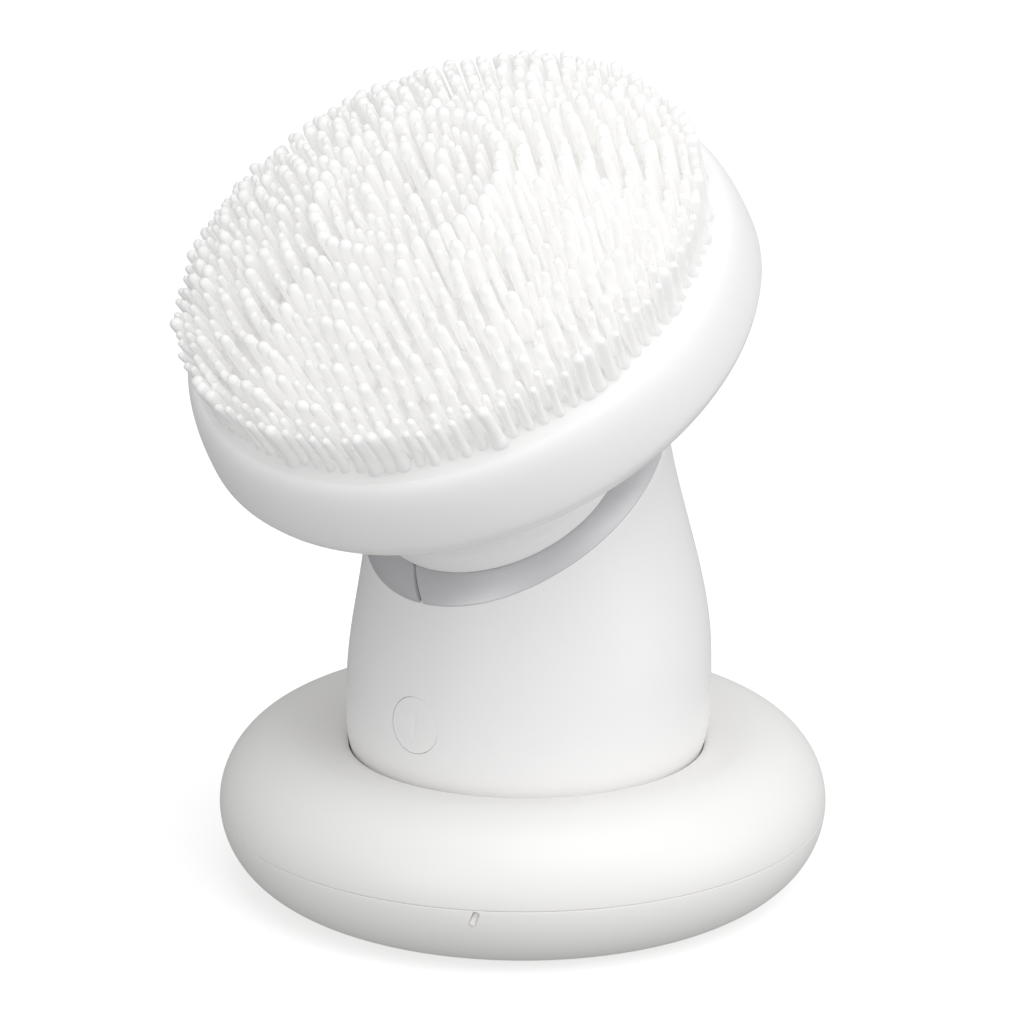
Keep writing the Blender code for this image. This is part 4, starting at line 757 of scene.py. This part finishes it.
def build_back(material):
    """Hard bowl under the head, with a rounded edge at the seam and an opening for the hub."""
    reach = HEAD_RADIUS - BACK_FLAT_RADIUS

    def bowl(inset, steps):
        depth = -BACK_FLAT_W - inset
        start = math.asin(((-HEAD_SEAM + HEAD_SEAM_GAP) / depth) ** (BACK_FULLNESS / 2.0))
        points = []
        for step in range(steps + 1):
            t = start + (math.pi / 2 - start) * step / steps
            across = max(0.0, math.cos(t)) ** (2.0 / BACK_FULLNESS)
            down = math.sin(t) ** (2.0 / BACK_FULLNESS)
            points.append((BACK_FLAT_RADIUS + (reach - inset) * across, -depth * down))
        return points

    outline = bowl(0.0, 48) + [(HUB_HOLE_RADIUS, BACK_FLAT_W), (HUB_HOLE_RADIUS, BACK_FLAT_W + COVER_WALL)]
    outline += bowl(COVER_WALL, 12)[::-1]
    cover = turned("back_bowl", eased(outline, COVER_EASE), material, "head", SLANTED)
    return stand_for(cover, "head_back_cover")


def bristle(points, faces, root, tip, radius, bend, sides):
    """Adds one bristle: a flared root, a slightly tapered and bent shaft and a round tip."""
    axis = (tip - root).normalized()
    side = axis.orthogonal().normalized()
    across = axis.cross(side)
    length = (tip - root).length
    straight = length - radius
    # Each station: share of the shaft's length, and width as a share of its radius
    stations = [(0.0, 1.45), (0.05, 1.2), (0.13, 1.07), (0.4, 1.03), (0.7, 1.0), (1.0, 1.0)]
    rings = [(straight * along, radius * wide) for along, wide in stations]
    for step in (1, 2, 3):
        turn = math.pi / 2 * step / 4
        rings.append((straight + radius * math.sin(turn), radius * math.cos(turn)))
    first = len(points)
    for along, wide in rings:
        sway = bend * (along / length) ** 2
        centre = root + axis * along + sway
        for number in range(sides):
            angle = 2 * math.pi * number / sides
            points.append(centre + (side * math.cos(angle) + across * math.sin(angle)) * wide)
    points.append(root + axis * length + bend)
    pole = len(points) - 1
    rows = [list(range(first + r * sides, first + (r + 1) * sides)) for r in range(len(rings))]
    faces += grid_faces(rows, False, True)
    faces += [(rows[-1][c], rows[-1][(c + 1) % sides], pole) for c in range(sides)]


def is_thick(kind, ring, number, count):
    """Mixed rings hold short runs of thick bristles, staggered from ring to ring."""
    if kind != "mixed":
        return kind == "thick"
    sector = int(number * RUNS / count * 2)
    return (sector + ring) % 2 == 0 if number % 2 else (sector + ring) % 4 == 0


def build_bristles(material):
    """All the bristles, as one piece in the slanted frame, from the dome to a shallow sphere of tips."""
    chance = random.Random(7)
    points = []
    faces = []
    for ring, (tip_radius, count, kind) in enumerate(BRISTLE_RINGS):
        tip_radius *= MM
        phase = chance.uniform(0.0, 2 * math.pi)
        for number in range(count):
            thick = is_thick(kind, ring, number, count)
            radius = THICK_RADIUS if thick else THIN_RADIUS
            if kind == "mixed" and thick:
                radius *= chance.uniform(LEAST_THICK_SHARE, 1.0)
            angle = phase + 2 * math.pi * (number + chance.uniform(-ANGLE_SCATTER, ANGLE_SCATTER)) / count
            outwards = Vector((math.sin(angle), -math.cos(angle), 0.0))
            reach = tip_radius + chance.uniform(-RADIUS_SCATTER, RADIUS_SCATTER)
            foot = reach / (1 + FAN)
            root = outwards * foot
            root.z = dome_height(FACE_DOME, FACE_CROWN, foot) - ROOT_DEPTH
            short = THICK_SHORTER if thick else THIN_SHORTER
            tip = outwards * reach
            tip.z = dome_height(TIP_DOME, TIP_CROWN, reach) - short
            tip.z -= chance.uniform(0.0, LENGTH_SCATTER)
            sway = Vector((chance.gauss(0, 1), chance.gauss(0, 1), 0.0)) * SWAY
            bristle(points, faces, root, tip, radius, sway, 14 if thick else 10)
    field = piece_from("bristles", points, faces, material, "head", SLANTED, sharp=math.radians(80))
    return stand_for(field, "bristle_field")


# ---------------------------------------------------------------- studio
def build_camera():
    """Long lens at the front right, a little above the brush."""
    level = math.cos(CAMERA_ELEVATION)
    back = Vector((math.sin(CAMERA_AZIMUTH) * level, -math.cos(CAMERA_AZIMUTH) * level,
                   math.sin(CAMERA_ELEVATION)))
    right = Vector((math.cos(CAMERA_AZIMUTH), math.sin(CAMERA_AZIMUTH), 0.0))
    target = Vector((0.0, 0.0, TARGET_HEIGHT)) - right * TARGET_LEFT
    camera = bpy.data.objects.new("camera", bpy.data.cameras.new("camera"))
    bpy.context.scene.collection.objects.link(camera)
    camera.location = target + back * CAMERA_DISTANCE
    camera.rotation_mode = "QUATERNION"
    camera.rotation_quaternion = (-back).to_track_quat("-Z", "Y")
    camera.data.lens = CAMERA_LENS
    camera.data.sensor_width = CAMERA_SENSOR
    bpy.context.scene.camera = camera
    return right, back


def area_light(name, direction, size, power):
    """Square lamp in a direction from the object, turned towards it."""
    lamp = bpy.data.lights.new(name, "AREA")
    lamp.size = size
    lamp.energy = power
    light = bpy.data.objects.new(name, lamp)
    bpy.context.scene.collection.objects.link(light)
    light.location = LAMP_AIM + direction.normalized() * LAMP_DISTANCE
    light.rotation_mode = "QUATERNION"
    light.rotation_quaternion = (-direction).to_track_quat("-Z", "Y")


def build_sky(lean):
    """Even surroundings that grow brighter towards one side, by the length and direction of lean."""
    world = bpy.data.worlds.new("studio")
    world.use_nodes = True
    nodes = world.node_tree.nodes
    link = world.node_tree.links.new
    place = nodes.new("ShaderNodeTexCoord")
    along = nodes.new("ShaderNodeVectorMath")
    along.operation = "DOT_PRODUCT"
    along.inputs[1].default_value = lean
    link(place.outputs["Generated"], along.inputs[0])
    level = nodes.new("ShaderNodeMath")
    level.operation = "ADD"
    level.inputs[1].default_value = SKY
    link(along.outputs["Value"], level.inputs[0])
    link(level.outputs["Value"], nodes["Background"].inputs["Strength"])
    nodes["Background"].inputs["Color"].default_value = (1.0, 1.0, 1.0, 1.0)
    bpy.context.scene.world = world


def build_studio(right, back):
    """Pale floor, pale surroundings, and soft lamps above, at the front left and at the right."""
    corners = [(x * FLOOR_SIZE, y * FLOOR_SIZE, 0) for x, y in ((-1, -1), (1, -1), (1, 1), (-1, 1))]
    mesh = bpy.data.meshes.new("floor")
    mesh.from_pydata(corners, [], [(0, 1, 2, 3)])
    floor = bpy.data.objects.new("floor", mesh)
    bpy.context.scene.collection.objects.link(floor)
    paper = surface("floor_white", [FLOOR_WHITE] * 3, 0.9, mottle=0.0, grain=0.0)
    shader = paper.node_tree.nodes["Principled BSDF"]
    shader.inputs["Emission Color"].default_value = (1.0, 1.0, 1.0, 1.0)
    shader.inputs["Emission Strength"].default_value = FLOOR_GLOW
    mesh.materials.append(paper)
    floor.visible_diffuse = False
    floor.visible_glossy = False
    up = Vector((0.0, 0.0, 1.0))
    ahead = Vector((back.x, back.y, 0.0)).normalized()
    build_sky(right * SKY_SIDE + ahead * SKY_FRONT + up * SKY_UP)
    for name, shares, size, power in LAMPS:
        area_light(name, right * shares[0] + ahead * shares[1] + up * shares[2], size, power)
    bpy.context.scene.view_settings.view_transform = "Standard"
    bpy.context.scene.cycles.diffuse_bounces = BOUNCES


# ---------------------------------------------------------------- assembly
finishes = make_finishes()
dress_cad_nodes(finishes)
camera_right, camera_back = build_camera()
build_studio(camera_right, camera_back)
build_dock_lower(finishes["dock_white"])
build_dock_upper(finishes["dock_white"])
build_pad(finishes["pad_grey"])
build_handle(finishes["handle_white"])
build_button(finishes["handle_white"])
build_trim(finishes["satin_metal"])
build_neck(finishes["handle_white"])
build_face(finishes["silicone_white"])
build_back(finishes["handle_white"])
build_bristles(finishes["silicone_white"])
